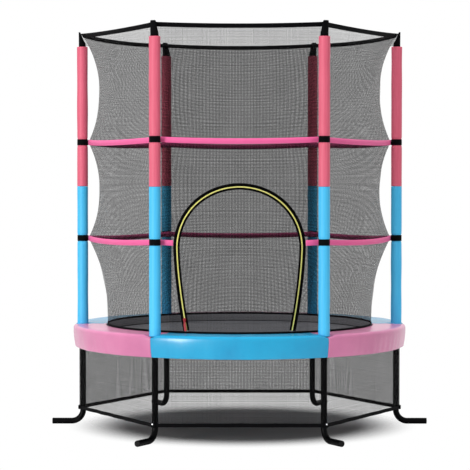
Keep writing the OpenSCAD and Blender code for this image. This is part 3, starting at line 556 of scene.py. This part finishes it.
# the run that each point is on: 0 nose, 1 crown, 2 shoulder, 3 flap, 4 its inside, 5 under the foam
run = np.repeat(np.arange(6), [len(r) for r in runs])
on_top, on_flap, outside = (run == 1) | (run == 2), (run == 3) | (run == 4), run <= 3
down = np.clip((PAD_TOP - section[:, 1]) / (PAD_TOP - FLAP_H), 0, 1)
inward = np.clip((section[:, 0] - PAD_IN) / (PAD_OUT - PAD_IN), 0, 1)
near_shoulder = np.exp(-((section[:, 0] - PAD_OUT + 0.01) / 0.02) ** 2) * on_top


def random_waves(rng, x, count, shortest, longest):
    """A sum of cosines of x with random lengths and phases, each a third high."""
    return sum(np.cos(2 * np.pi * x / rng.uniform(shortest, longest) + rng.uniform(0, 6.3))
               for _ in range(count)) / 3


def pad_piece(i, name, node, finish):
    """One sixth of the rim: the section at even angles. Its skin sinks and puckers at the sewn ends by an
    exponential of the distance, ripples at the shoulder and on the flap, and gives way round both poles."""
    rng = np.random.default_rng(40 + i)
    gap = math.degrees(SEAM_GAP / PAD_IN)
    t = np.linspace(0, 1, PAD_ROWS)
    arc = np.radians(60 * t) * PAD_OUT
    sewn = np.exp(-np.minimum(arc, arc[-1] - arc) / PUCKER_REACH)[:, None]
    folds = sum(rng.uniform(0.4, 1.0) * np.cos(2 * np.pi * arc / rng.uniform(0.02, 0.06)
                                               + rng.uniform(0, 6.3)) for _ in range(5))[:, None] / 3
    slow = random_waves(rng, arc, 3, 0.12, 0.3)[:, None]
    rise = (folds * (0.25 + 2.0 * sewn) * near_shoulder + slow * on_top) * RIPPLE
    rise -= sewn * on_top * END_SINK * np.sin(np.pi * np.clip(inward, 0.03, 0.97)) ** 0.4
    r = section[:, 0] + (slow * FLAP_WAVE + folds * FLAP_RIPPLE) * down ** 1.3 * on_flap
    r -= sewn * END_PULL * outside * (1 - down)
    a = np.radians(i * 60 + gap + (60 - 2 * gap) * t)[:, None]
    rings = xyz(r * np.cos(a), r * np.sin(a), section[:, 1] + rise)
    for k in (i, i + 1):
        # the skin is cut round the pole and the corner fitting, and lies against them
        pole = turned([[POLE_R, 0, 0]], 60 * k)[0]
        d = rings[..., :2] - pole[:2]
        far = np.linalg.norm(d, axis=-1)
        rings[..., 2] -= on_top * DENT * np.exp(-(np.maximum(far - DENT_R, 0) / DENT_REACH) ** 2)
        room = np.where(rings[..., 2] > FITTING_TOP, TUBE_R + POLE_ROOM, FITTING_R)
        push = np.maximum(far, room) / np.maximum(far, 1e-6)
        rings[..., :2] = pole[:2] + d * push[..., None]
        # pushing must not carry the skin into the neighbour's sixth
        limit = np.radians(60 * k + (gap if k == i else -gap))
        across = -rings[..., 0] * np.sin(limit) + rings[..., 1] * np.cos(limit)
        over = np.minimum(across, 0) if k == i else np.maximum(across, 0)
        rings[..., 0] += over * np.sin(limit)
        rings[..., 1] -= over * np.cos(limit)
    pad = fixed(loft(name, rings[:, ::-1], finish), node)


sides = ["right_back", "back", "left_back", "left_front", "front", "right_front"]
for i, side in enumerate(sides):
    colour = ("blue", "pink")[i % 2]
    pad_piece(i, f"rim_pad_{side}", f"pad_{side}", pad_skins[colour])

# The edging binds the foam's inner edge from below.
edging_cut = [[PAD_IN - 0.0008, PAD_FOOT - 0.0031], [PAD_IN + 0.008, PAD_FOOT - 0.0031],
              [PAD_IN + 0.008, PAD_FOOT - 0.0005], [PAD_IN + 0.0005, PAD_FOOT - 0.0003],
              [PAD_IN - 0.001, PAD_FOOT - 0.001]]
fixed(loft("pad_edging", sweep_round(edging_cut, 180), black_tape, closed=True), "pad_binding")

# ------------------------------ skirt
# Six lengths of black netting hang straight outside the legs, from behind the flaps to a black
# hem near the ground. A fabric tie at each corner gathers the hem to its leg.
HOLE = 0.0020


def netting(name, share, foot=0.0):
    """Knitted netting: threads in two directions with open holes between, black all through. The share is
    how much is closed, and below the height foot it is doubled with a closely woven strip, whose light grey
    is a painted sheen that copies the lit mat behind it."""
    net = Finish(name)
    u, v, _ = net.parts(net.uv())
    across = u.wave(HOLE) ** 3
    along = (v + u.wave(HOLE) * (HOLE * 0.25)).wave(HOLE) ** 3
    knitted = across.math("MAXIMUM", along)
    rows, columns = [net.node("ShaderNodeTexNoise", {"W": w, "Scale": 210.0, "Detail": 2.0},
                              noise_dimensions="1D") for w in (v, u + 7.0)]
    slubs = rows * 0.34 + columns * 0.26 - 0.30
    uneven = net.noise(9.0, 2.0)
    closed_strip_painted_sheen = v.math("LESS_THAN", foot)
    closed = knitted * 0.75 + share + slubs + uneven * 0.08 + closed_strip_painted_sheen
    black = net.mix(uneven, tone(4, 4, 4), tone(14, 14, 15))
    # painted sheen: below the foot the netting is light grey, like the lit mat seen there
    net.shade(Base_Color=net.mix(closed_strip_painted_sheen, black, tone(128, 128, 132)), Roughness=0.6 + uneven * 0.1,
              Specular_IOR_Level=0.05, Alpha=closed.math("MAXIMUM", 0.0).math("MINIMUM", 1.0))
    net.bump(knitted, 0.00012)
    return net


skirt_mesh = netting("skirt_netting", 0.14)
SKIRT_R, SKIRT_TOP, SKIRT_FOOT, HEM_W = 0.67678, 0.351, 0.063, 0.0155
SKIRT_COLS, SKIRT_ROWS, SKIRT_END, SKIRT_WAVE = 91, 40, 0.999, 0.0022
COS30, SIN30 = math.cos(math.pi / 6), 0.5


def on_side(points, i):
    """Turns points that are drawn with x along a side and y outwards to side i of the six."""
    return turned(points, (i + 0.5) * 60 - 90)


def skirt_surface(i, share, z, out):
    """A point of skirt side i: flat from corner to corner, with shallow upright folds, a sum of cosines,
    that die out at the corners by a 6th power and at the top by a 0.7 power."""
    x = share * (SKIRT_R + out / COS30) * SIN30
    folds = random_waves(np.random.default_rng(70 + i), x, 3, 0.09, 0.2)
    low = np.clip((SKIRT_TOP - z) / (SKIRT_TOP - SKIRT_FOOT), 0, 1)
    y = SKIRT_R * COS30 + out + folds * SKIRT_WAVE * (1 - share ** 6) * low ** 0.7
    return on_side(xyz(x, y, z), i)


skirt_hem_cut = [(0.0020, 0.0), (0.0032, 0.0004), (0.0036, HEM_W * 0.5), (0.0032, HEM_W - 0.0004),
                 (0.0020, HEM_W), (0.0018, HEM_W * 0.5)]
share = np.linspace(SKIRT_END, -SKIRT_END, SKIRT_COLS)
z = np.linspace(SKIRT_FOOT + 0.003, SKIRT_TOP, SKIRT_ROWS)
skirt_map = grid_uv(share * SKIRT_R * SIN30, z, SKIRT_ROWS, SKIRT_COLS)
for i in range(6):
    cloth = skirt_surface(i, *np.meshgrid(share, z), 0.0008)
    side = mesh_piece(f"skirt_side_{i + 1}", cloth, grid_faces(SKIRT_ROWS, SKIRT_COLS), skirt_mesh, skirt_map)
    fixed(side, "skirt_net", i == 0)
    rings = np.stack([skirt_surface(i, share, SKIRT_FOOT + h, out) for out, h in skirt_hem_cut], axis=1)
    fixed(loft(f"skirt_hem_{i + 1}", rings, black_tape), "skirt_hem", i == 0)

# Ties: a short gathered tab of the hem's cloth, drawn round the corner and closed by a plated press
# stud. A profile of radius and height gives the tab, and one of radius and distance outwards the stud.
GATHER_R, GATHER_DEPTH, GATHER_WIDTH = 0.6785, 0.62, 1.6
STUD_R, STUD_H = 0.6825, SKIRT_FOOT + 0.0122
lobe = np.array([[0.0008, -0.0015], [0.0040, -0.0010], [0.0062, 0.0015], [0.0068, 0.006],
                 [0.0066, 0.011], [0.0056, 0.0150], [0.0034, 0.0172], [0.0008, 0.0178]])
dome = np.array([[0.0038, -0.0016], [0.0039, 0.0004], [0.0037, 0.0010], [0.0026, 0.0017], [0.0010, 0.0021]])
nickel = Finish("nickel_plate")
nickel.shade(Base_Color=nickel.mix(nickel.noise(200.0), tone(246, 246, 247), tone(228, 229, 231)),
             Metallic=1.0, Roughness=0.3 + nickel.noise(700.0) * 0.1)


def once_round(count):
    """Angles once round, in equal steps, without the last, which is the first again."""
    return np.linspace(0, 2 * np.pi, count + 1)[:-1]


a = once_round(24)
stud = xyz(STUD_R + dome[:, 1:], dome[:, :1] * np.cos(a), STUD_H + dome[:, :1] * np.sin(a))
for i in range(6):
    r = lobe[:, :1] * (1 + 0.07 * np.cos(a * 6 + i) + 0.05 * np.cos(a * 11 + 2 * i))
    tab = xyz(GATHER_R + GATHER_DEPTH * r * np.cos(a), GATHER_WIDTH * r * np.sin(a), SKIRT_FOOT + lobe[:, 1:])
    fixed(loft(f"skirt_tie_{i + 1}", turned(tab, 60 * i), black_tape), "skirt_ties", i == 0)
    fixed(loft(f"tie_stud_{i + 1}", turned(stud, 60 * i), nickel))

# ------------------------------ foam sleeves and bands
# Each pole wears two tubes of closed-cell foam, slit down one side to slip over the steel: blue
# below and pink above. A black webbing band pulls the foam in at each strap and ties the net to it.
def foam(name, base, shade):
    """Extruded foam: satin skin with tiny cells, faint lengthwise drag and slow dents."""
    skin = Finish(name)
    x, y, z = skin.parts(skin.place())
    cells = skin.noise(700.0, 2.0)
    drag = skin.noise(1.0, 3.0, skin.node("ShaderNodeCombineXYZ", {"X": x * 260, "Y": y * 260, "Z": z * 9}))
    dents = skin.noise(34.0, 2.0)
    skin.shade(Base_Color=skin.mix(drag.ramp(0.3, 0.75), base, shade), Roughness=0.42 + cells * 0.16,
               Specular_IOR_Level=0.3)
    skin.bump(cells * 0.18 + dents * 0.82, 0.0007)
    return skin


foam_pink = foam("pink_foam", tone(225, 104, 128), tone(215, 94, 118))
foam_blue = foam("blue_foam", tone(78, 194, 242), tone(68, 185, 236))
SLEEVE_R, BORE_R, NECK_R, BAND_H, END_R = 0.0225, 0.0129, 0.0197, 0.025, 0.0016
PINCH_REACH, SLIT_DEPTH, SLIT_W, WOBBLE = 0.0165, 0.0010, 0.06, 0.00048
JOINT_H, SLEEVE_TOP, UPPER_TIE, LOWER_TIE = 1.005, 1.591, 1.190, 0.787


def sleeve_radius(z, low, high, tie):
    """Straight, with quarter circles at both ends, and pinched to the band's neck at the tie by an
    exponential of the 4th power of the distance."""
    pinch = np.exp(-(np.abs(z - tie) / PINCH_REACH) ** 4)
    near = np.minimum(z - low, high - z)
    end = END_R - np.sqrt(np.maximum(END_R ** 2 - np.maximum(END_R - near, 0) ** 2, 0))
    return SLEEVE_R - (SLEEVE_R - NECK_R) * pinch - end


def sleeves(kind, low, high, tie, finish):
    """Six foam tubes round the poles: rings of the sleeve's radius with slow waves and a slit on the inner
    side, joined at both ends to a ring of the bore."""
    a = once_round(40)
    slit = SLIT_DEPTH * np.exp(-((a - np.pi) / SLIT_W) ** 2)
    ends = np.array([0, 0.0004, 0.0009, END_R])
    body = np.unique(np.concatenate([np.linspace(low + 0.003, high - 0.003, 60),
                                     np.linspace(tie - 0.03, tie + 0.03, 31)]))
    z = np.concatenate([low + ends, body, high - ends[::-1]])
    for i in range(6):
        wobble = WOBBLE * random_waves(np.random.default_rng(90 + i), z, 4, 0.07, 0.3)
        r = (sleeve_radius(z, low, high, tie) + wobble)[:, None] - slit
        tube = xyz(POLE_R + r * np.cos(a), r * np.sin(a), z[:, None])
        bore = xyz(POLE_R + BORE_R * np.cos(a), BORE_R * np.sin(a), 0.0)
        rings = np.concatenate([[bore + [0, 0, low]], tube, [bore + [0, 0, high]]])
        sleeve = loft(f"{kind}_sleeve_{i + 1}", turned(rings, 60 * i), finish, closed=True)
        fixed(sleeve, f"{kind}_sleeves", i == 0)


sleeves("blue", PAD_TOP - DENT + 0.0008, JOINT_H - 0.0002, LOWER_TIE, foam_blue)
sleeves("pink", JOINT_H + 0.0002, SLEEVE_TOP, UPPER_TIE, foam_pink)

# Bands: heavy webbing stitched into a loop, with a folded tab sewn to the strap on its inner side.
TIE_R, BAND_T = 0.637464, 0.0025
h = BAND_H / 2
band_cut = np.array([(0.0001, -h), (BAND_T * 0.8, -h), (BAND_T, -h + 0.0004), (BAND_T * 1.1, 0.0),
                     (BAND_T, h - 0.0004), (BAND_T * 0.8, h), (0.0001, h)])
tab_from, tab_to, tab_y, tab_z = TIE_R + 0.0020, POLE_R - NECK_R - BAND_T, 0.0045, h - 0.0016
tab_box = np.array([[[x, -tab_y, -tab_z], [x, tab_y, -tab_z], [x, tab_y, tab_z], [x, -tab_y, tab_z]]
                    for x in (tab_from, tab_to)])
a, r = once_round(48)[:, None], NECK_R + band_cut[:, 0]
for level, tie in (("upper", UPPER_TIE), ("lower", LOWER_TIE)):
    loop = xyz(POLE_R + r * np.cos(a), r * np.sin(a), tie + band_cut[:, 1])
    for i in range(6):
        band = loft(f"{level}_band_{i + 1}", turned(loop, 60 * i), black_tape, closed=True)
        fixed(band, f"{level}_bands", i == 0)
        tab = loft(f"{level}_tab_{i + 1}", turned(tab_box + [0, 0, tie], 60 * i), black_tape, smooth=False)
        fixed(tab)

# ------------------------------ safety net
# Six panels of black netting are sewn edge to edge. Their seams are tied to the poles at two
# straps and in the top pockets and pull in between, so each seam hangs in curves like a curtain's.
NET_TOP, NET_FOOT, FOOT_R, MID_R, WAIST_R, TOP_R = 1.6455, 0.3973, 0.556, 0.595, 0.591, 0.665664
SAG, SILL, STRAP_W, HEM_W_TOP, HEM_T, FOOT_TAPE_W = 0.008, 0.434, 0.022, 0.016, 0.0012, 0.0085
UPPER_WAIST, MIDDLE_WAIST = UPPER_TIE + 0.467 * (NET_TOP - UPPER_TIE), (UPPER_TIE + LOWER_TIE) / 2
LOWER_WAIST, GIVE = 0.450, 0.0035


def seam_radius(z):
    """Radius of the seam at height z: out at each tie and in at the waist between, by a 2.2 power of the
    share of the way from waist to tie. The last span also reaches 10 mm over the top, for the hem."""
    z = np.asarray(z, float)
    r = np.full(z.shape, FOOT_R)
    spans = [(LOWER_WAIST, LOWER_TIE, FOOT_R, TIE_R), (MIDDLE_WAIST, LOWER_TIE, WAIST_R, TIE_R),
             (MIDDLE_WAIST, UPPER_TIE, WAIST_R, TIE_R), (UPPER_WAIST, UPPER_TIE, WAIST_R, TIE_R),
             (UPPER_WAIST, NET_TOP, WAIST_R, TOP_R)]
    for waist_z, tie_z, waist, tied in spans:
        inside = (z >= min(waist_z, tie_z)) & (z <= max(waist_z, tie_z) + (0.01 if tie_z == NET_TOP else 0))
        share = (z - waist_z) / (tie_z - waist_z)
        r = np.where(inside, waist + (tied - waist) * np.abs(share) ** 2.2, r)
    return r


def low_part(z):
    """The share of the way from the sill up to the lower tie, 1 above it."""
    return np.clip((np.asarray(z, float) - SILL) / (LOWER_TIE - SILL), 0, 1)


def skin(share, z, out=0.0):
    """A point of a panel, x along it and y outwards. It bows from seam to seam, where share is -1 and 1, by
    a parabola, and sags by another. Out is the distance outside the netting."""
    share, z = np.broadcast_arrays(np.asarray(share, float), np.asarray(z, float))
    c = seam_radius(z)
    bow = 1 - share ** 2
    mid = FOOT_R + (MID_R - FOOT_R) * low_part(z)
    x = share * c * SIN30
    y = c * COS30 + (mid - c * COS30) * bow
    k = 1 + out / np.hypot(x, y)
    return xyz(x * k, y * k, z - SAG * low_part(z) * bow)


def skin_at(x, z, out=0.0):
    """The same point from its distance x along the panel."""
    return skin(np.asarray(x) / (seam_radius(z) * SIN30), z, out)


def net_piece(name, points, quads, i):
    """A piece of side i's netting, drawn with x along the side. Its map is that x and the height, so its
    threads run level and upright."""
    threads = points[..., [0, 2]].reshape(-1, 2)[quads.ravel()]
    return mesh_piece(name, on_side(points, i), quads, mesh_black[i], threads)


def give(points, i):
    """Loose cloth between its ties: four cosines of random direction, upright for the most part, that die
    out within 120 mm of each tie, within 100 mm of each seam and towards the foot."""
    rng = np.random.default_rng(200 + i)
    x, z = points[..., 0], points[..., 2]
    wave = sum(np.cos(2 * np.pi * (x * rng.uniform(-4, 4) + z * rng.uniform(3, 9)) + rng.uniform(0, 6.3))
               for _ in range(4)) / 4
    held = np.minimum(np.minimum(np.abs(z - UPPER_TIE), np.abs(z - LOWER_TIE)), np.abs(z - NET_TOP))
    loose = np.clip(held / 0.12, 0, 1) * np.clip((0.33 - np.abs(x)) / 0.1, 0, 1)
    loose = loose * np.clip((z - 0.47) / 0.1, 0, 1)
    return points - xyz(0.0, GIVE * loose * (wave + 0.6), 0.0)


DOOR = sides.index("front")
# the more a panel is stretched, the more open its mesh stands
mesh_black = [netting(f"netting_{side}", share, SILL - FOOT_TAPE_W)
              for side, share in zip(sides, (0.20, 0.23, 0.14, 0.03, 0.11, 0.03))]
FOOT_ROWS, LOW_ROWS, MIDDLE_ROWS, TOP_ROWS, PANEL_COLS = 4, 34, 40, 44, 61
foot_levels, top_levels = np.linspace(NET_FOOT, SILL, FOOT_ROWS), np.linspace(UPPER_TIE, NET_TOP, TOP_ROWS)
levels = np.unique(np.concatenate([foot_levels, np.linspace(SILL, LOWER_TIE, LOW_ROWS),
                                   np.linspace(LOWER_TIE, UPPER_TIE, MIDDLE_ROWS), top_levels]))
quads = grid_faces(len(levels), PANEL_COLS)
for i, side in enumerate(sides):
    if i != DOOR:
        grid = give(skin(np.linspace(1, -1, PANEL_COLS), levels[:, None]), i)
        panel = net_piece(f"netting_{side}", grid, quads, i)
        fixed(panel, f"net_{side}")

# ------------------------------ door and zip
# The door is an arch of the same netting, joined to the front panel by a coil zip and left uncut
# along its foot, so it folds in over the mat. Black tape edges the zip on both sides.
ARCH_R, ARCH_H, ARCH_FOOT = 0.2445, 0.7675, 0.2065
TEETH, TAPE_OUT, TAPE_IN = 0.0024, 0.0120, 0.0085
CUT, ZIP_FOOT = 0.0044, SILL + 0.003


def arch_width(z, d=0.0):
    """Half the width of the zip's line at height z, moved out by d: a circle above, and legs that
    draw in below by a 1.7 power."""
    z = np.asarray(z, float)
    top = np.sqrt(np.maximum((ARCH_R + d) ** 2 - (z - ARCH_H) ** 2, 0))
    leg = ARCH_R + d - (ARCH_R - ARCH_FOOT) * np.clip((ARCH_H - z) / (ARCH_H - SILL), 0, None) ** 1.7
    return np.where(z > ARCH_H, top, leg)


def arch_levels(d, rows):
    """Heights from the sill to the arch's top, closer together as the arch turns over."""
    a = np.radians(np.linspace(0, 88.6, rows))
    return np.concatenate([np.linspace(SILL, ARCH_H, rows), (ARCH_H + (ARCH_R + d) * np.sin(a))[1:]])


# The front panel is a grid whose columns lean to the arch's edge. Its faces inside the arch are left out.
SIDE_COLS, MIDDLE_COLS, DOOR_COLS, OVER_ROWS = 16, 24, 49, 16
beside = arch_levels(CUT, LOW_ROWS)
above = np.unique(np.concatenate([np.linspace(beside[-1], UPPER_TIE, OVER_ROWS), top_levels]))
levels = np.concatenate([foot_levels[:-1], beside, above[1:]])
edge = (arch_width(np.clip(levels, SILL, beside[-1]), CUT) / (seam_radius(levels) * SIN30))[:, None]
t = np.linspace(0, 1, SIDE_COLS + 1)
across = 1 - 2 * np.linspace(0, 1, MIDDLE_COLS + 1)[1:-1]
shares = np.concatenate([1 + (edge - 1) * t, edge * across, -(edge + (1 - edge) * t)], axis=1)
grid = give(skin(shares, levels[:, None]), DOOR)
quads = grid_faces(*shares.shape)
row, col = np.divmod(np.arange(len(quads)), shares.shape[1] - 1)
sill_row = FOOT_ROWS - 1
in_arch = (row >= sill_row) & (row < sill_row + len(beside) - 1)
quads = quads[~(in_arch & (col >= SIDE_COLS) & (col < SIDE_COLS + MIDDLE_COLS))]
front = net_piece("netting_front", grid, quads, DOOR)
fixed(front, "net_front")


def on_door(piece):
    """Bakes the placing of a piece of the door into its mesh."""
    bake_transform(piece)


levels = arch_levels(-CUT, LOW_ROWS)
edge = arch_width(levels, -CUT) / (seam_radius(levels) * SIN30)
shares = np.linspace(1, -1, DOOR_COLS) * edge[:, None]
grid = give(skin(shares, levels[:, None]), DOOR)
quads = grid_faces(*shares.shape)
door = net_piece("door_netting", grid, quads, DOOR)
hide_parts("door_panel")
on_door(door)

# The zip's line, as points along the panel and in height, and its direction outwards
z = np.linspace(ZIP_FOOT, ARCH_H, 60)
a = np.radians(np.linspace(0, 180, 161))[1:-1]
leg = np.column_stack([arch_width(z), z])
over = np.column_stack([ARCH_R * np.cos(a), ARCH_H + ARCH_R * np.sin(a)])
line = np.concatenate([leg, over, leg[::-1] * [-1, 1]])
ahead = np.gradient(line, axis=0)
ahead /= np.linalg.norm(ahead, axis=1)[:, None]
outward = np.column_stack([ahead[:, 1], -ahead[:, 0]])


def on_zip(piece, moves):
    """The door's half of the zip is baked in place as the door is, and the net's half is fixed to the frame.
    """
    if moves:
        on_door(piece)
    else:
        fixed(piece)


def zip_strip(name, cut, finish, moves, node):
    """A strip along the zip's line whose section is given as (distance across, distance out) points."""
    rings = []
    for across, out in cut:
        p = line + outward * across
        rings.append(give(skin_at(p[:, 0], p[:, 1], out), DOOR))
    strip = loft(name, on_side(np.stack(rings, axis=1), DOOR), finish)
    on_zip(strip, moves)
    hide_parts(node)


zip_black = webbing("zip_tape_black", tone(1, 1, 1), tone(5, 5, 6), 0.0012, 0.7, 0.03, 0.0)
TAPE_BACK, TAPE_FACE, TAPE_ROUNDING = 0.0009, 0.0020, 0.00044
net_cut = tape_cut(TEETH + 0.0001, TEETH + TAPE_OUT, TAPE_BACK, TAPE_FACE, TAPE_ROUNDING)
door_cut = tape_cut(-TEETH - TAPE_IN, -TEETH - 0.0001, TAPE_BACK, TAPE_FACE, TAPE_ROUNDING)
zip_strip("zip_tape_net", net_cut, zip_black, False, "zip_tape")
zip_strip("zip_tape_door", door_cut, zip_black, True, "door_tape")

# The zip: on each side a woven yellow cord carries a nylon coil, whose turns show as close ribs.
coil = Finish("yellow_coil")
speck = coil.noise(300.0)
coil.shade(Base_Color=coil.mix(speck, tone(250, 246, 150), tone(228, 222, 112)),
           Roughness=0.34 + speck * 0.15, Specular_IOR_Level=0.5)
coil.bump(coil.noise(1800.0), 0.00005)
RIB_PITCH, RIB_W, RIB_FOOT, RIB_TOP, RIB_DROP = 0.0030, 0.0021, 0.0016, 0.0028, 0.0005


def ribs(name, near, far, start, moves):
    """The turns of one coil: short bars across the zip, a fixed pitch apart along its line. Each is a grid
    of four by four points that is lower along its rim."""
    run = run_along(line)
    mids = np.arange(start, run[-1] - RIB_W, RIB_PITCH)
    along = mids[:, None] + RIB_W * np.array([-0.5, -0.36, 0.36, 0.5])
    lift = np.array([RIB_FOOT, RIB_TOP, RIB_TOP, RIB_FOOT])
    on_line, square = [np.stack([np.interp(along, run, way[:, k]) for k in (0, 1)], axis=-1)
                       for way in (line, outward)]
    bars = []
    for share, drop in ((0, RIB_DROP), (0.15, 0.0), (0.85, 0.0), (1, RIB_DROP)):
        p = on_line + square * (near + (far - near) * share)
        bars.append(give(skin_at(p[..., 0], p[..., 1], lift - drop), DOOR))
    faces = copies(grid_faces(4, 4)[:, ::-1], len(mids), 16)
    on_zip(mesh_piece(name, on_side(np.stack(bars, axis=1), DOOR), faces, coil), moves)


cord_cut = [(0.0003, -0.0004), (TEETH, -0.0004), (TEETH, 0.0014), (0.0003, 0.0016)]
zip_strip("zip_cord_net", cord_cut, coil, False, "zip_teeth")
zip_strip("zip_cord_door", [(-d, o) for d, o in cord_cut[::-1]], coil, True, "door_teeth")
ribs("zip_coil_net", TEETH * 0.97, 0.0001, 0.0020, False)
ribs("zip_coil_door", -0.0001, -TEETH * 0.97, 0.0035, True)

# Slider and pull: die-cast, with a thick glossy red enamel.
enamel = Finish("red_enamel")
enamel.shade(Base_Color=enamel.mix(enamel.noise(90.0), tone(172, 22, 34), tone(150, 16, 26)), Roughness=0.5,
             Specular_IOR_Level=0.3)
enamel.bump(enamel.noise(600.0), 0.00005)
dress(enamel, "zip_slider", "zip_pull")

# ------------------------------ straps, hem and pockets
# Two pink webbing straps run round the net outside it and stop at the door's tape. The top edge is
# bound in black tape, and at each pole it is drawn into a fabric pocket over the pole's end.
strap_pink = webbing("pink_webbing", tone(240, 104, 162), tone(226, 86, 146), 0.0016, 0.45, 0.3, 0.12)
SEAM, STRAP_STEPS, STRAP_GAP = 0.9995, 61, 0.0006


def across_panel(name, i, start, end, steps, cut, finish, slot, node=None):
    """A strip across panel i from share to share. Its cut is a list of (height on the netting, lift from
    there, distance outside the netting)."""
    share = np.linspace(start, end, steps)
    rings = np.stack([skin(share, z, out) + [0, 0, lift] for z, lift, out in cut], axis=1)
    fixed(loft(name, on_side(rings, i), finish), node, i == 0)


def strap_cut(tie):
    """The cut through a strap: flat inside, slightly crowned outside, with softened edges."""
    h, back, face = STRAP_W / 2, 0.0003, 0.0017
    return [(tie, -h, back + 0.0003), (tie, -h + 0.0006, face), (tie, 0.0, face + 0.0002),
            (tie, h - 0.0006, face), (tie, h, back + 0.0003), (tie, 0.0, back)]


# The hem folds over the net's top edge, outside and inside. The tape at the foot lies outside alone.
outer, inner = 0.0007, -0.0023
top, foot = NET_TOP + 0.0003, NET_TOP - HEM_W_TOP
top_hem_cut = [(foot, 0, outer), (foot, 0, outer + HEM_T), (top, 0, outer + HEM_T), (top + HEM_T, 0, 0.0009),
               (top + HEM_T, 0, inner), (top, 0, inner - HEM_T), (foot, 0, inner - HEM_T), (foot, 0, inner),
               (top, 0, inner), (top, 0, outer)]
low, high = SILL - FOOT_TAPE_W, SILL - 0.0003
middle = (low + high) / 2
foot_cut = [(low, 0, 0.0004), (low, 0, 0.0014), (middle, 0, 0.0017), (high, 0, 0.0014), (high, 0, 0.0004),
            (middle, 0, 0.0003)]
beside_door = float(arch_width(LOWER_TIE - STRAP_W / 2, TEETH + TAPE_OUT)) + STRAP_GAP
stop = beside_door / (float(seam_radius(LOWER_TIE)) * SIN30)
pink, black = (strap_pink, "strap_pink"), (black_tape, "tape_black")
for i, side in enumerate(sides):
    full = (i, SEAM, -SEAM, STRAP_STEPS)
    across_panel(f"upper_strap_{side}", *full, strap_cut(UPPER_TIE), *pink, "upper_strap")
    if i == DOOR:
        across_panel("lower_strap_front_right", i, -stop, -SEAM, 12, strap_cut(LOWER_TIE), *pink)
        across_panel("lower_strap_front_left", i, SEAM, stop, 12, strap_cut(LOWER_TIE), *pink)
    else:
        across_panel(f"lower_strap_{side}", *full, strap_cut(LOWER_TIE), *pink, "lower_strap")
    across_panel(f"top_hem_{side}", *full, top_hem_cut, *black, "net_hem")
    across_panel(f"foot_tape_{side}", *full, foot_cut, *black, "net_foot_tape")

# Pockets: gathered cloth, round where it meets the sleeve and drawn flat and outwards to the hem.
# Depth and width are shares of the pocket's radius at each level; two cosines round it make the gathers.
POCKET_R, POCKET_OUTER, POCKET_SET = 0.0146, POLE_R + 0.0155, 0.0004
WEB_FOOT, WEB_TOP, WEB_ROWS, WEB_COLS = 1.5935, 1.644, 14, 5
heights = np.array([1.5913, 1.602, 1.609, 1.618, 1.626, 1.634, 1.640, 1.6455, 1.650, 1.6528])
at_levels = [1.5913, 1.606, 1.618, 1.6455, 1.649, 1.653]
depths = POCKET_R * np.interp(heights, at_levels, [1, 1, 0.72, 0.33, 0.3, 0.18])
widths = POCKET_R * np.interp(heights, at_levels, [1.15, 1.13, 1.05, 0.93, 0.86, 0.68])
a = once_round(64)
gathered = np.linspace(0.2, 1, len(heights))[:, None]
d, w = depths[:, None], widths[:, None]
# the net's corner is sewn to the pocket by a narrow web of the netting
z = np.linspace(WEB_FOOT, WEB_TOP, WEB_ROWS)[:, None]
inner_edge = POCKET_OUTER - 2 * np.interp(z, heights, depths)
r = seam_radius(z) + (inner_edge - seam_radius(z)) * np.linspace(0, 1, WEB_COLS)
corner = xyz(r, 0.0, z)
quads = grid_faces(WEB_ROWS, WEB_COLS)
corner_map = corner.reshape(-1, 3)[quads.ravel()][:, [0, 2]]
for i in range(6):
    rng = np.random.default_rng(300 + i)
    fold = 1 + 0.035 * np.cos(a * 9 + rng.uniform(0, 6)) * gathered + 0.02 * np.cos(a * 5 + rng.uniform(0, 6))
    rings = xyz(POCKET_OUTER - POCKET_SET - d + d * fold * np.cos(a), w * fold * np.sin(a), heights[:, None])
    pocket = loft(f"top_pocket_{i + 1}", turned(rings, 60 * i), black_tape)
    fixed(pocket, "corner_pockets", i == 0)
    web = mesh_piece(f"corner_web_{i + 1}", turned(corner, 60 * i), quads, mesh_black[i], corner_map)
    fixed(web)
